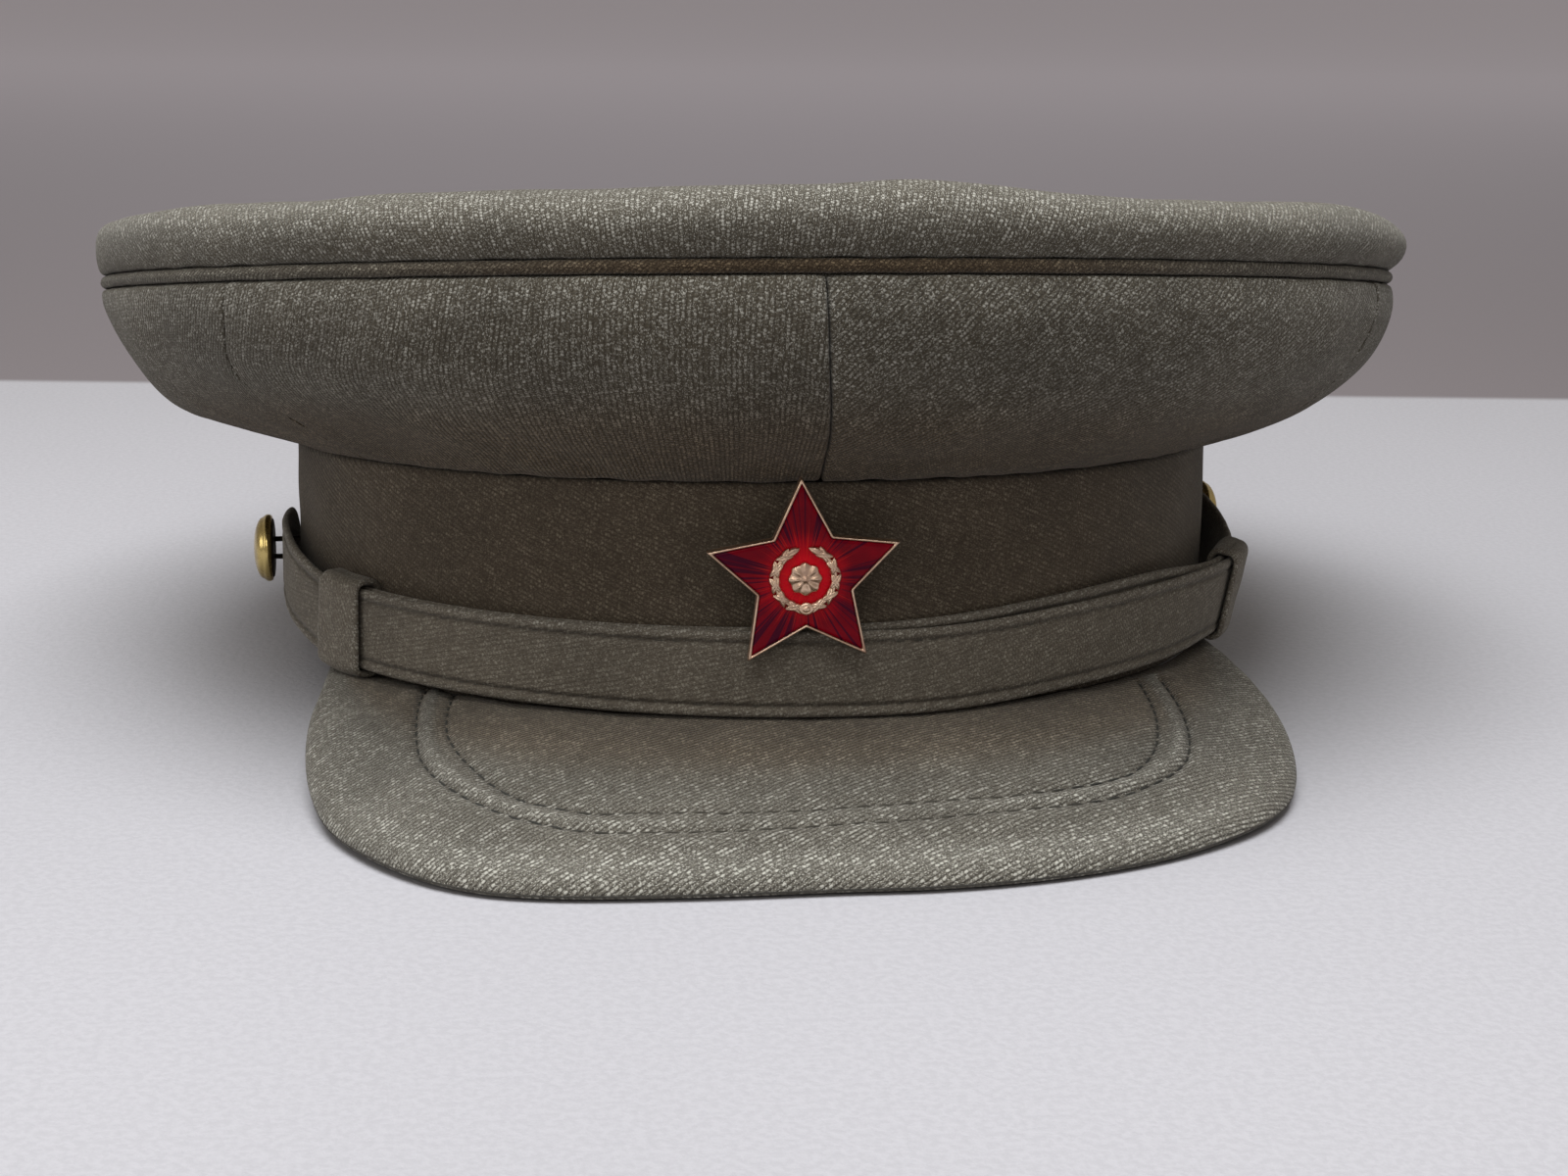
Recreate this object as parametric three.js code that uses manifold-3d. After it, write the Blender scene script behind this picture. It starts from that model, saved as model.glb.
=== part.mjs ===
// A khaki cloth forage cap: an upright band, a wide round crown of four quarter panels and a top panel
// joined by a welt, a cloth covered visor, a two layer chin strap with runners, two side buttons and an
// enamelled star.
//
// Millimetres. The cap is drawn in its own frame: the band stands on the plane z = 0, the front faces -Y
// and +X is to the right of someone looking at the front. Azimuths are in degrees: 0 front, 90 right,
// 180 back, -90 left. The whole cap is then leaned back so that it rests on the visor's edge and the
// back of the band.
import * as THREE from "three";
import { mergeVertices } from "three/addons/utils/BufferGeometryUtils.js";
import Module from "manifold-3d";

const wasm = await Module();
wasm.setup();

// Driving dimensions
const gap = 0.3; // clearance between neighbouring pieces
const segments = 64; // facets round the cap

const bandHalfWidth = 95;
const bandHalfLength = 99.5;
const bandFrontHeight = 42.5;
const bandBackHeight = 38;
const bandWall = 2.6;

const clothWall = 2;
const crownHalfWidth = 132.5; // at the welt
const crownHalfLength = 130;
const crownFrontRise = 39.5; // from the top of the band to the welt
const crownBackRise = 22;
const quarterPoints = 8;
const sideSeamLeft = 50; // azimuths of the seams between the front and back quarters
const sideSeamRight = 54;

const weltDiameter = 3;
const weltProud = 0.6; // how far the welt stands out of the crown
const weltSides = 6;

const topEdgeHeight = 12.6; // top panel above the welt
const topRoll = 17; // width of the rolled edge
const topSag = 3;

const visorReach = 51.3; // in front of the band
const visorDrop = 17.3; // front edge below the foot of the band
const visorThickness = 3.4;
const visorRootTop = 0.8; // upper face where it leaves the band
const visorCamber = 2.6;
const visorEndLeft = 63.5; // azimuths where the visor leaves the band
const visorEndRight = 69;
const visorFlareLeft = 2.9; // how far its sides stand out beyond those places
const visorFlareRight = 3.4;
const visorCornerLift = 0.8;
const restFlat = 0.35; // how deep the resting edges are flattened

const strapWidth = 15.5;
const strapThickness = 1.4; // each layer
const runnerLength = 13;
const runnerWall = 1.1;
const runnerEase = 0.45; // clearance of a runner round the strap

const buttonDiameter = 14;
const buttonRise = 4.2;
const buttonProfileRows = [
  { radius: 0, rise: 0 },
  { radius: 0.86, rise: 0 },
  { radius: 0.97, rise: 0.16 },
  { radius: 1, rise: 0.32 },
  { radius: 0.96, rise: 0.48 },
  { radius: 0.89, rise: 0.68 },
  { radius: 0.68, rise: 0.85 },
  { radius: 0.37, rise: 0.97 },
  { radius: 0, rise: 1 },
]; // shares of the button's radius and rise
const buttonStandoff = 2.3; // bare shank between the strap and the button
const shankWire = 1.1;
const shankSpacing = 3.7; // between the two legs of the shank
const shankTail = 3.4; // loop inside the band
const pinDiameter = 1.3;
const pinLength = 13;
const holeClearance = 0.35;

const starSpan = 34; // from side tip to side tip
const starInnerShare = 0.5; // inner corners, as a share of the tips' radius
const starPlate = 1.1;
const starRimWidth = 0.75;
const starRimRise = 0.9;
const enamelThickness = 0.6;
const starTipRise = 2.3; // top tip above the top of the band
const starSide = -0.4; // to the left of the cap's middle
const starLean = 4; // degrees, its top away from the band
const starTurn = 2.6; // degrees, anticlockwise as seen from the front
const postDiameter = 3;
const nutDiameter = 14;
const nutThickness = 1.6;

const wreathRadius = 5.3;
const wreathWire = 0.7;
const wreathLeafPairs = 5;
const wreathOpening = 26; // degrees either side of the top
const wreathFoot = 158; // azimuth of the lowest leaves on the star's face
const wreathNext = 14; // degrees between the end leaf and the first pair
const leafSplay = 28; // degrees each leaf of a pair turns from the stem
const wreathKnot = 1.4; // half width of the knot at the foot
const leafLength = 3.2;
const leafWidth = 1.25;
const leafThickness = 0.8;

// Shape of the quarter panels between the band and the welt: each pair is a share of the reach outwards
// and a share of the rise.
const quarterRows = [
  { azimuth: 0, under: [0.24, 0.12], belly: [0.6, 0.3], flank: [0.9, 0.58], shoulder: [1.02, 0.85] },
  { azimuth: 78, under: [0.3, 0.09], belly: [0.62, 0.26], flank: [0.9, 0.56], shoulder: [1.01, 0.85] },
  { azimuth: 135, under: [0.3, 0.1], belly: [0.66, 0.3], flank: [0.92, 0.6], shoulder: [1.01, 0.86] },
  { azimuth: 180, under: [0.3, 0.12], belly: [0.68, 0.36], flank: [0.93, 0.64], shoulder: [1.02, 0.86] },
  { azimuth: 225, under: [0.32, 0.09], belly: [0.66, 0.28], flank: [0.9, 0.58], shoulder: [1, 0.86] },
  { azimuth: 262, under: [0.32, 0.07], belly: [0.62, 0.19], flank: [0.85, 0.56], shoulder: [0.98, 0.86] },
  { azimuth: 282, under: [0.3, 0.1], belly: [0.6, 0.27], flank: [0.87, 0.59], shoulder: [0.99, 0.86] },
  { azimuth: 305, under: [0.26, 0.14], belly: [0.58, 0.35], flank: [0.88, 0.62], shoulder: [1, 0.86] },
];

// How far the rolled edge of the top bulges past the welt, and small rises of its ridge, in shares of
// the edge's height.
const topEdgeRows = [
  { azimuth: -2, bulge: 0.14, lift: 0.08 },
  { azimuth: 8, bulge: 0.15, lift: 0.15 },
  { azimuth: 18, bulge: 0.15, lift: 0.02 },
  { azimuth: 36, bulge: 0.16, lift: -0.05 },
  { azimuth: 62, bulge: 0.2, lift: -0.05 },
  { azimuth: 90, bulge: 0.24, lift: -0.02 },
  { azimuth: 135, bulge: 0.2, lift: 0.02 },
  { azimuth: 180, bulge: 0.16, lift: 0 },
  { azimuth: 225, bulge: 0.14, lift: 0.03 },
  { azimuth: 270, bulge: 0.1, lift: -0.04 },
  { azimuth: 308, bulge: 0.12, lift: 0 },
  { azimuth: 338, bulge: 0.13, lift: 0.05 },
];

// Section of the rolled edge from the welt to the flat of the top: shares of the roll, the edge's height
// and the bulge.
const topSectionRows = [
  { inward: 0, up: 0, bulge: 0 },
  { inward: 0, up: 0.2, bulge: 0.75 },
  { inward: 0, up: 0.45, bulge: 1 },
  { inward: 0.05, up: 0.68, bulge: 0.9 },
  { inward: 0.2, up: 0.88, bulge: 0.6 },
  { inward: 0.48, up: 0.98, bulge: 0.25 },
  { inward: 1, up: 1, bulge: 0 },
];
const topDiscShares = [0.66, 0.3, 0]; // rings between the rolled edge and the middle

// Outline of the visor from the middle of its front to the band: shares of the half width to each side,
// and of the length from where the visor leaves the band to its front.
const visorEdgeRows = [
  { left: 0, leftAlong: 1, right: 0, rightAlong: 1 },
  { left: 0.27, leftAlong: 1.005, right: 0.18, rightAlong: 0.998 },
  { left: 0.52, leftAlong: 0.994, right: 0.325, rightAlong: 0.983 },
  { left: 0.645, leftAlong: 0.967, right: 0.465, rightAlong: 0.955 },
  { left: 0.737, leftAlong: 0.922, right: 0.605, rightAlong: 0.911 },
  { left: 0.816, leftAlong: 0.859, right: 0.725, rightAlong: 0.857 },
  { left: 0.884, leftAlong: 0.781, right: 0.828, rightAlong: 0.793 },
  { left: 0.939, leftAlong: 0.691, right: 0.9, rightAlong: 0.722 },
  { left: 0.977, leftAlong: 0.578, right: 0.955, rightAlong: 0.628 },
  { left: 0.997, leftAlong: 0.451, right: 0.99, rightAlong: 0.506 },
  { left: 1, leftAlong: 0.329, right: 1, rightAlong: 0.385 },
  { left: 0.989, leftAlong: 0.193, right: 0.991, rightAlong: 0.228 },
  { left: 0.98, leftAlong: 0.019, right: 0.976, rightAlong: 0.028 },
];

// Thickness of the visor across its depth, from the band to the edge: shares of the depth and of the
// thickness.
const visorSectionRows = [
  { depth: 0, thickness: 1 },
  { depth: 0.2, thickness: 1 },
  { depth: 0.42, thickness: 1 },
  { depth: 0.64, thickness: 1 },
  { depth: 0.82, thickness: 1 },
  { depth: 0.95, thickness: 1 },
  { depth: 0.985, thickness: 0.8 },
  { depth: 1, thickness: 0.36 },
];

// Lie of the chin strap: clearance of each layer from the band, in strap thicknesses, the height of the
// middle and how far the inner layer stands above the outer, in strap widths, and the degrees that its
// upper edge leans out.
const strapRows = [
  { azimuth: -98, inner: 1.1, outer: 1.1, middle: 1.02, spread: 0, lean: 0 },
  { azimuth: -88, inner: 1.1, outer: 1.3, middle: 1.06, spread: 0, lean: 0 },
  { azimuth: -78, inner: 1.3, outer: 2, middle: 1.05, spread: 0, lean: 0 },
  { azimuth: -69, inner: 1.5, outer: 2.75, middle: 0.9, spread: 0, lean: 0 },
  { azimuth: -60, inner: 1.55, outer: 2.85, middle: 0.72, spread: 0, lean: 0 },
  { azimuth: -50, inner: 1.3, outer: 2.55, middle: 0.67, spread: 0, lean: 0 },
  { azimuth: -34, inner: 0.75, outer: 2, middle: 0.63, spread: 0, lean: 0 },
  { azimuth: -15, inner: 0.35, outer: 1.6, middle: 0.6, spread: 0.01, lean: 0 },
  { azimuth: 0, inner: 0.25, outer: 1.5, middle: 0.59, spread: 0.04, lean: 0 },
  { azimuth: 15, inner: 0.35, outer: 1.6, middle: 0.61, spread: 0.09, lean: 0 },
  { azimuth: 32, inner: 0.75, outer: 2, middle: 0.73, spread: 0.12, lean: 0 },
  { azimuth: 46, inner: 1.4, outer: 2.7, middle: 0.79, spread: 0.12, lean: 2 },
  { azimuth: 58, inner: 2.3, outer: 3.65, middle: 0.78, spread: 0.02, lean: 10 },
  { azimuth: 64, inner: 2.6, outer: 3.95, middle: 0.78, spread: 0.02, lean: 12 },
  { azimuth: 74, inner: 2.6, outer: 3.95, middle: 0.86, spread: 0.02, lean: 12 },
  { azimuth: 84, inner: 2, outer: 3.3, middle: 1.08, spread: 0, lean: 4 },
  { azimuth: 95, inner: 1.1, outer: 2.4, middle: 1.28, spread: 0, lean: 0 },
  { azimuth: 106, inner: 1.1, outer: 2.4, middle: 1.33, spread: 0, lean: 0 },
];

// Section of the strap: shares of its width across and of its thickness.
const strapSectionRows = [
  { across: -0.5, thickness: 0.55 },
  { across: -0.43, thickness: 1 },
  { across: 0.43, thickness: 1 },
  { across: 0.5, thickness: 0.55 },
];
const strapEndRows = [0, 0.08, 0.25, 0.55]; // stations on the round end, in shares of its radius
const strapEndTip = 0.35; // width at the very end, as a share of the strap's
const strapTail = 13.3; // from the middle of a button to the strap's round end
const outerStrap = { buttonAzimuth: -88, plainEnd: 68, layer: "outer" };
const innerStrap = { buttonAzimuth: 95, plainEnd: -59.5, layer: "inner" };
const runners = [
  { name: "strap_runner_left", azimuth: -56 },
  { name: "strap_runner_right", azimuth: 66 },
];
const strapStepDegrees = 4;

// Colours
const cloth = new THREE.MeshStandardMaterial({ color: 0x69624c, roughness: 0.95, metalness: 0 });
const gilt = new THREE.MeshStandardMaterial({ color: 0xc9a050, roughness: 0.3, metalness: 1 });
const brass = new THREE.MeshStandardMaterial({ color: 0xb09a3e, roughness: 0.35, metalness: 1 });
const steel = new THREE.MeshStandardMaterial({ color: 0x77736b, roughness: 0.45, metalness: 1 });
const enamel = new THREE.MeshStandardMaterial({ color: 0x8f0d18, roughness: 0.12, metalness: 0 });

// Small tools
const radians = THREE.MathUtils.degToRad;
const lerp = THREE.MathUtils.lerp;
const vec = (x, y, z) => new THREE.Vector3(x, y, z);

// Smooth value of a table's column at a place between its rows. The column is a name or a function of
// the row, and a period makes the table run round.
function tableValue(rows, key, place, column, period = 0) {
  const read = typeof column === "function" ? column : (row) => row[column];
  let table = rows;
  if (period) {
    const shifted = (turn) => rows.map((row) => ({ ...row, [key]: row[key] + turn }));
    table = [...shifted(-period), ...rows, ...shifted(period)];
  }
  const last = table.length - 1;
  const at = THREE.MathUtils.clamp(place, table[0][key], table[last][key]);
  let k = 0;
  while (k < last - 1 && table[k + 1][key] < at) k += 1;
  const slope = (m) => {
    const before = table[Math.max(m - 1, 0)];
    const after = table[Math.min(m + 1, last)];
    return (read(after) - read(before)) / (after[key] - before[key]);
  };
  const [a, b] = [table[k], table[k + 1]];
  const span = b[key] - a[key];
  const t = (at - a[key]) / span;
  return (
    read(a) * (2 * t ** 3 - 3 * t ** 2 + 1) +
    read(b) * (3 * t ** 2 - 2 * t ** 3) +
    slope(k) * span * (t ** 3 - 2 * t ** 2 + t) +
    slope(k + 1) * span * (t ** 3 - t ** 2)
  );
}

const onEllipse = (halfWidth, halfLength, azimuth, z = 0) =>
  vec(halfWidth * Math.sin(radians(azimuth)), -halfLength * Math.cos(radians(azimuth)), z);

const degreesPerMm = THREE.MathUtils.radToDeg(1 / bandHalfWidth); // along the band

// Outward direction of the band's wall.
const bandNormal = (azimuth) =>
  vec(Math.sin(radians(azimuth)) / bandHalfWidth, -Math.cos(radians(azimuth)) / bandHalfLength, 0).normalize();

function geometryOf(vertices, triangles) {
  const geometry = new THREE.BufferGeometry();
  geometry.setAttribute("position", new THREE.Float32BufferAttribute(vertices.flatMap((v) => v.toArray()), 3));
  geometry.setIndex(triangles.flat());
  return geometry;
}

function signedVolume(vertices, triangles) {
  const sixfold = ([a, b, c]) => vertices[a].dot(vertices[b].clone().cross(vertices[c]));
  return triangles.reduce((sum, triangle) => sum + sixfold(triangle) / 6, 0);
}

// A closed solid between two grids of points, face[i][j] and back[i][j]. round closes it along i, loop
// along j, and centre means that the last column of each grid is one point.
function wallSolid(face, back, { round = false, loop = false, centre = false } = {}) {
  const rows = face.length;
  const columns = face[0].length;
  const vertices = [...face.flat(), ...back.flat()];
  const lastColumn = columns - 1;
  const index = (side, i, j) => {
    const column = loop ? j % columns : j;
    const row = centre && column === lastColumn ? 0 : i % rows;
    return side * rows * columns + row * columns + column;
  };
  const triangles = [];
  const quad = (a, b, c, d) => {
    for (const [p, q, r] of [[a, b, c], [a, c, d]]) {
      if (p !== q && q !== r && r !== p) triangles.push([p, q, r]);
    }
  };
  const rowSteps = round ? rows : rows - 1;
  const columnSteps = loop ? columns : columns - 1;
  for (let i = 0; i < rowSteps; i += 1) {
    for (let j = 0; j < columnSteps; j += 1) {
      quad(index(0, i, j), index(0, i + 1, j), index(0, i + 1, j + 1), index(0, i, j + 1));
      quad(index(1, i, j), index(1, i, j + 1), index(1, i + 1, j + 1), index(1, i + 1, j));
    }
    if (!loop) {
      quad(index(0, i, 0), index(1, i, 0), index(1, i + 1, 0), index(0, i + 1, 0));
      const far = lastColumn;
      if (!centre) quad(index(0, i, far), index(0, i + 1, far), index(1, i + 1, far), index(1, i, far));
    }
  }
  if (!round) {
    for (let j = 0; j < columnSteps; j += 1) {
      quad(index(0, 0, j), index(0, 0, j + 1), index(1, 0, j + 1), index(1, 0, j));
      quad(index(0, rows - 1, j), index(1, rows - 1, j), index(1, rows - 1, j + 1), index(0, rows - 1, j + 1));
    }
  }
  const turned = signedVolume(vertices, triangles) < 0 ? triangles.map(([a, b, c]) => [a, c, b]) : triangles;
  return geometryOf(vertices, turned);
}

// A closed solid along rings of points. A round one joins its last ring to its first, and others get
// flat ends.
function ringSolid(rings, round = false) {
  const sides = rings[0].length;
  const vertices = rings.flat();
  const triangles = [];
  const steps = round ? rings.length : rings.length - 1;
  for (let i = 0; i < steps; i += 1) {
    const next = (i + 1) % rings.length;
    for (let j = 0; j < sides; j += 1) {
      const [a, b] = [i * sides + j, i * sides + ((j + 1) % sides)];
      const [c, d] = [next * sides + ((j + 1) % sides), next * sides + j];
      triangles.push([a, b, c], [a, c, d]);
    }
  }
  if (!round) {
    const end = (rings.length - 1) * sides;
    for (let j = 1; j < sides - 1; j += 1) {
      triangles.push([0, j + 1, j], [end, end + j, end + j + 1]);
    }
  }
  const turned = signedVolume(vertices, triangles) < 0 ? triangles.map(([a, b, c]) => [a, c, b]) : triangles;
  return geometryOf(vertices, turned);
}

// Joining and cutting with manifold-3d
function toSolid(geometry) {
  const plain = geometry.index ? geometry.toNonIndexed() : geometry.clone();
  const bare = new THREE.BufferGeometry().setAttribute("position", plain.getAttribute("position"));
  const merged = mergeVertices(bare, 1e-4);
  return new wasm.Manifold(
    new wasm.Mesh({
      numProp: 3,
      vertProperties: merged.attributes.position.array,
      triVerts: new Uint32Array(merged.index.array),
    }),
  );
}

function fromSolid(solid) {
  const mesh = solid.getMesh();
  const geometry = new THREE.BufferGeometry();
  const positions = new Float32Array(mesh.numVert * 3);
  for (let i = 0; i < mesh.numVert; i += 1) {
    positions.set(mesh.vertProperties.subarray(i * mesh.numProp, i * mesh.numProp + 3), i * 3);
  }
  geometry.setAttribute("position", new THREE.BufferAttribute(positions, 3));
  geometry.setIndex(new THREE.BufferAttribute(mesh.triVerts, 1));
  return geometry;
}

const cut = (geometry, ...tools) =>
  fromSolid(tools.reduce((solid, tool) => solid.subtract(toSolid(tool)), toSolid(geometry)));
const join = (...geometries) =>
  fromSolid(geometries.slice(1).reduce((solid, other) => solid.add(toSolid(other)), toSolid(geometries[0])));

// The lean of the cap at rest, and the surface that it rests on, as a slab to cut with in the cap's own frame
const restTilt = Math.atan(visorDrop / (2 * bandHalfLength + visorReach));
const restHeight = (y) => -(bandHalfLength - y) * Math.tan(restTilt);

function floorSlab() {
  const side = 4 * crownHalfWidth;
  const thickness = 3 * visorDrop;
  const slab = new THREE.BoxGeometry(side, side, thickness);
  slab.translate(0, 0, restFlat - thickness / 2);
  slab.rotateX(restTilt);
  slab.translate(0, bandHalfLength, 0);
  return slab;
}

// Band
const bandMiddle = (bandFrontHeight + bandBackHeight) / 2;
const bandSlant = (bandFrontHeight - bandBackHeight) / 2;
const bandTop = (azimuth) => bandMiddle + bandSlant * Math.cos(radians(azimuth));
const roundAzimuths = Array.from({ length: segments }, (_, k) => (k * 360) / segments);

function bandShell() {
  const wallAt = (inset) =>
    roundAzimuths.map((azimuth) =>
      [0, bandTop(azimuth)].map((z) => onEllipse(bandHalfWidth - inset, bandHalfLength - inset, azimuth, z)),
    );
  return wallSolid(wallAt(0), wallAt(bandWall), { round: true });
}

// Crown: the plane of the welt leans with the crown
const weltFront = bandFrontHeight + crownFrontRise;
const weltBack = bandBackHeight + crownBackRise;
const weltMiddle = (weltFront + weltBack) / 2;
const weltSlope = (weltFront - weltBack) / (2 * crownHalfLength);
const weltPlane = (y) => weltMiddle - weltSlope * y;
const weltRadius = weltDiameter / 2;

function weltPoint(azimuth) {
  const p = onEllipse(crownHalfWidth, crownHalfLength, azimuth);
  p.z = weltPlane(p.y);
  return p;
}

// The section's points moved into the cap by the wall, square to the section. Ends keep their height.
function insetSection(section, wall) {
  return section.map((p, k) => {
    const before = section[Math.max(k - 1, 0)];
    const after = section[Math.min(k + 1, section.length - 1)];
    const along = after.clone().sub(before).normalize();
    return vec(p.x - along.y * wall, p.y + along.x * wall, 0);
  });
}

// Section of the quarter panels at an azimuth, in the plane of outwards (x) and up (y) from the band's
// top edge.
function quarterSection(azimuth) {
  const shareOf = (name, k) => tableValue(quarterRows, "azimuth", azimuth, (row) => row[name][k], 360);
  const share = (name) => [shareOf(name, 0), shareOf(name, 1)];
  const base = onEllipse(bandHalfWidth, bandHalfLength, azimuth, bandTop(azimuth));
  const welt = weltPoint(azimuth);
  const outward = welt.clone().sub(base).setZ(0);
  const reach = outward.length();
  outward.normalize();
  const rise = welt.z - base.z - weltRadius - 2 * gap;
  const shares = [[0, 0], ...["under", "belly", "flank", "shoulder"].map(share), [1, 1]];
  const curve = new THREE.CatmullRomCurve3(shares.map(([out, up]) => vec(out * reach, gap + up * rise, 0)));
  const outer = curve.getSpacedPoints(quarterPoints);
  const inner = insetSection(outer, clothWall);
  inner[0] = outer[0].clone().add(vec(-clothWall, 0, 0));
  inner[quarterPoints] = outer[quarterPoints].clone().add(vec(-clothWall, 0, 0));
  const place = (p) => base.clone().addScaledVector(outward, p.x).add(vec(0, 0, p.y));
  return { outer: outer.map(place), inner: inner.map(place) };
}

function quarterPanel(from, to) {
  const seam = (gap / 2) * degreesPerMm;
  const steps = Math.round((segments * (to - from)) / 360);
  const azimuths = Array.from({ length: steps + 1 }, (_, k) => lerp(from + seam, to - seam, k / steps));
  const sections = azimuths.map(quarterSection);
  return wallSolid(sections.map((s) => s.outer), sections.map((s) => s.inner));
}

function weltRing() {
  const rings = roundAzimuths.map((azimuth) => {
    const centre = weltPoint(azimuth);
    const outward = vec(centre.x, centre.y, 0).normalize();
    centre.addScaledVector(outward, weltProud - weltRadius);
    return Array.from({ length: weltSides }, (_, k) => {
      const turn = ((k + 0.5) * 2 * Math.PI) / weltSides;
      return centre
        .clone()
        .addScaledVector(outward, weltRadius * Math.cos(turn))
        .add(vec(0, 0, weltRadius * Math.sin(turn)));
    });
  });
  return ringSolid(rings, true);
}

function topPanel() {
  const sections = roundAzimuths.map((azimuth) => {
    const value = (column) => tableValue(topEdgeRows, "azimuth", azimuth, column, 360);
    const welt = weltPoint(azimuth);
    const outward = vec(welt.x, welt.y, 0);
    const radius = outward.length();
    outward.normalize();
    const ridge = topEdgeHeight * (1 + value("lift"));
    const start = weltRadius + gap;
    const edge = topSectionRows.map((row) =>
      vec(
        radius - row.inward * topRoll + row.bulge * value("bulge") * topEdgeHeight,
        start + row.up * (ridge - start),
        0,
      ),
    );
    const flat = radius - topRoll;
    const disc = topDiscShares.map((share) =>
      vec(share * flat, lerp(topEdgeHeight, ridge, share) - topSag * (1 - share ** 2), 0),
    );
    const outer = [...edge, ...disc];
    const inner = insetSection(outer, clothWall);
    inner[0] = outer[0].clone().add(vec(-clothWall, 0, 0));
    inner[outer.length - 1] = outer[outer.length - 1].clone().add(vec(0, -clothWall, 0));
    const place = (p) => {
      const at = outward.clone().multiplyScalar(p.x);
      return at.setZ(weltPlane(at.y) + p.y);
    };
    return { outer: outer.map(place), inner: inner.map(place) };
  });
  return wallSolid(sections.map((s) => s.outer), sections.map((s) => s.inner), { round: true, centre: true });
}

// Visor: lofted from its root on the band to an outline whose front lies on the resting surface
const visorRoot = (azimuth) => onEllipse(bandHalfWidth + gap, bandHalfLength + gap, azimuth);

function visorOutline(count) {
  const front = -bandHalfLength - visorReach;
  const side = (name, end, flare) => {
    const root = visorRoot(end);
    const points = visorEdgeRows.map((row) =>
      vec(row[name] * (root.x + flare), lerp(root.y, front, row[name + "Along"]), 0),
    );
    return new THREE.CatmullRomCurve3(points, false, "centripetal").getSpacedPoints(count);
  };
  const left = side("left", visorEndLeft, visorFlareLeft).map((p) => vec(-p.x, p.y, 0));
  return [...left.reverse(), ...side("right", visorEndRight, visorFlareRight).slice(1)];
}

function visorShell() {
  const halfSteps = 18;
  const liftStarts = 0.52; // share of the half outline where the edge begins to rise to the band
  const outline = visorOutline(halfSteps);
  const [upper, lower] = [[], []];
  outline.forEach((edge, k) => {
    const share = (k - halfSteps) / halfSteps;
    const root = visorRoot(share * (share < 0 ? visorEndLeft : visorEndRight));
    root.z = visorRootTop - visorThickness / 2;
    const lift = THREE.MathUtils.smoothstep(Math.abs(share), liftStarts, 1);
    const corner = visorCornerLift * THREE.MathUtils.smoothstep(Math.abs(share), 0.3, liftStarts);
    edge.z = lerp(restHeight(edge.y) + corner + visorThickness / 2, root.z, lift);
    const camber = visorCamber * (root.distanceTo(edge) / visorReach);
    const at = (row, side) => {
      const p = root.clone().lerp(edge, row.depth);
      p.z += 4 * camber * row.depth * (1 - row.depth) + (side * row.thickness * visorThickness) / 2;
      return p;
    };
    upper.push(visorSectionRows.map((row) => at(row, 1)));
    lower.push(visorSectionRows.map((row) => at(row, -1)));
  });
  return wallSolid(upper, lower);
}

// Chin strap. A place on it: its middle on the inner face, the direction out of the band, along, and
// across upwards
function strapPlace(azimuth, layer) {
  const above = { inner: 0.5, outer: -0.5 }[layer];
  const value = (a, column) => tableValue(strapRows, "azimuth", a, column);
  const at = (a) => {
    const clearance = value(a, layer) * strapThickness;
    const height = (value(a, "middle") + above * value(a, "spread")) * strapWidth;
    return onEllipse(bandHalfWidth, bandHalfLength, a, height).addScaledVector(bandNormal(a), clearance);
  };
  const outward = bandNormal(azimuth);
  const along = at(azimuth + 0.5).sub(at(azimuth - 0.5)).normalize();
  const across = outward.clone().cross(along).normalize();
  if (across.z < 0) across.negate();
  across.addScaledVector(outward, Math.tan(radians(value(azimuth, "lean")))).normalize();
  return { middle: at(azimuth), outward: along.clone().cross(across).normalize(), along, across };
}

function outOf(place) {
  const facing = place.middle.clone().setZ(0).dot(place.outward) < 0 ? -1 : 1;
  return place.outward.clone().multiplyScalar(facing);
}

function strapLayer({ buttonAzimuth, plainEnd, layer }) {
  const endRadius = strapWidth / 2;
  const inwards = -Math.sign(buttonAzimuth);
  const roundAt = buttonAzimuth - inwards * strapTail * degreesPerMm;
  const roundDegrees = strapEndRows.map((share) => roundAt + inwards * share * endRadius * degreesPerMm);
  const straightEnd = roundAt + inwards * endRadius * degreesPerMm;
  const [low, high] = [straightEnd, plainEnd].sort((a, b) => a - b);
  const steps = Math.round((high - low) / strapStepDegrees);
  const azimuths = Array.from({ length: steps + 1 }, (_, k) => lerp(low, high, k / steps));
  azimuths.push(...roundDegrees);
  azimuths.sort((a, b) => a - b);
  const [face, back] = [[], []];
  azimuths.forEach((azimuth) => {
    const place = strapPlace(azimuth, layer);
    const out = outOf(place);
    const fromEnd = Math.abs(azimuth - roundAt) / degreesPerMm;
    const short = Math.max(0, 1 - fromEnd / endRadius);
    const width = strapWidth * Math.max(strapEndTip, Math.sqrt(1 - short ** 2));
    const line = (offset) =>
      strapSectionRows.map((c) =>
        place.middle
          .clone()
          .addScaledVector(place.across, c.across * width)
          .addScaledVector(out, offset * c.thickness),
      );
    face.push(line(strapThickness));
    back.push(line(0));
  });
  return wallSolid(face, back);
}

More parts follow.
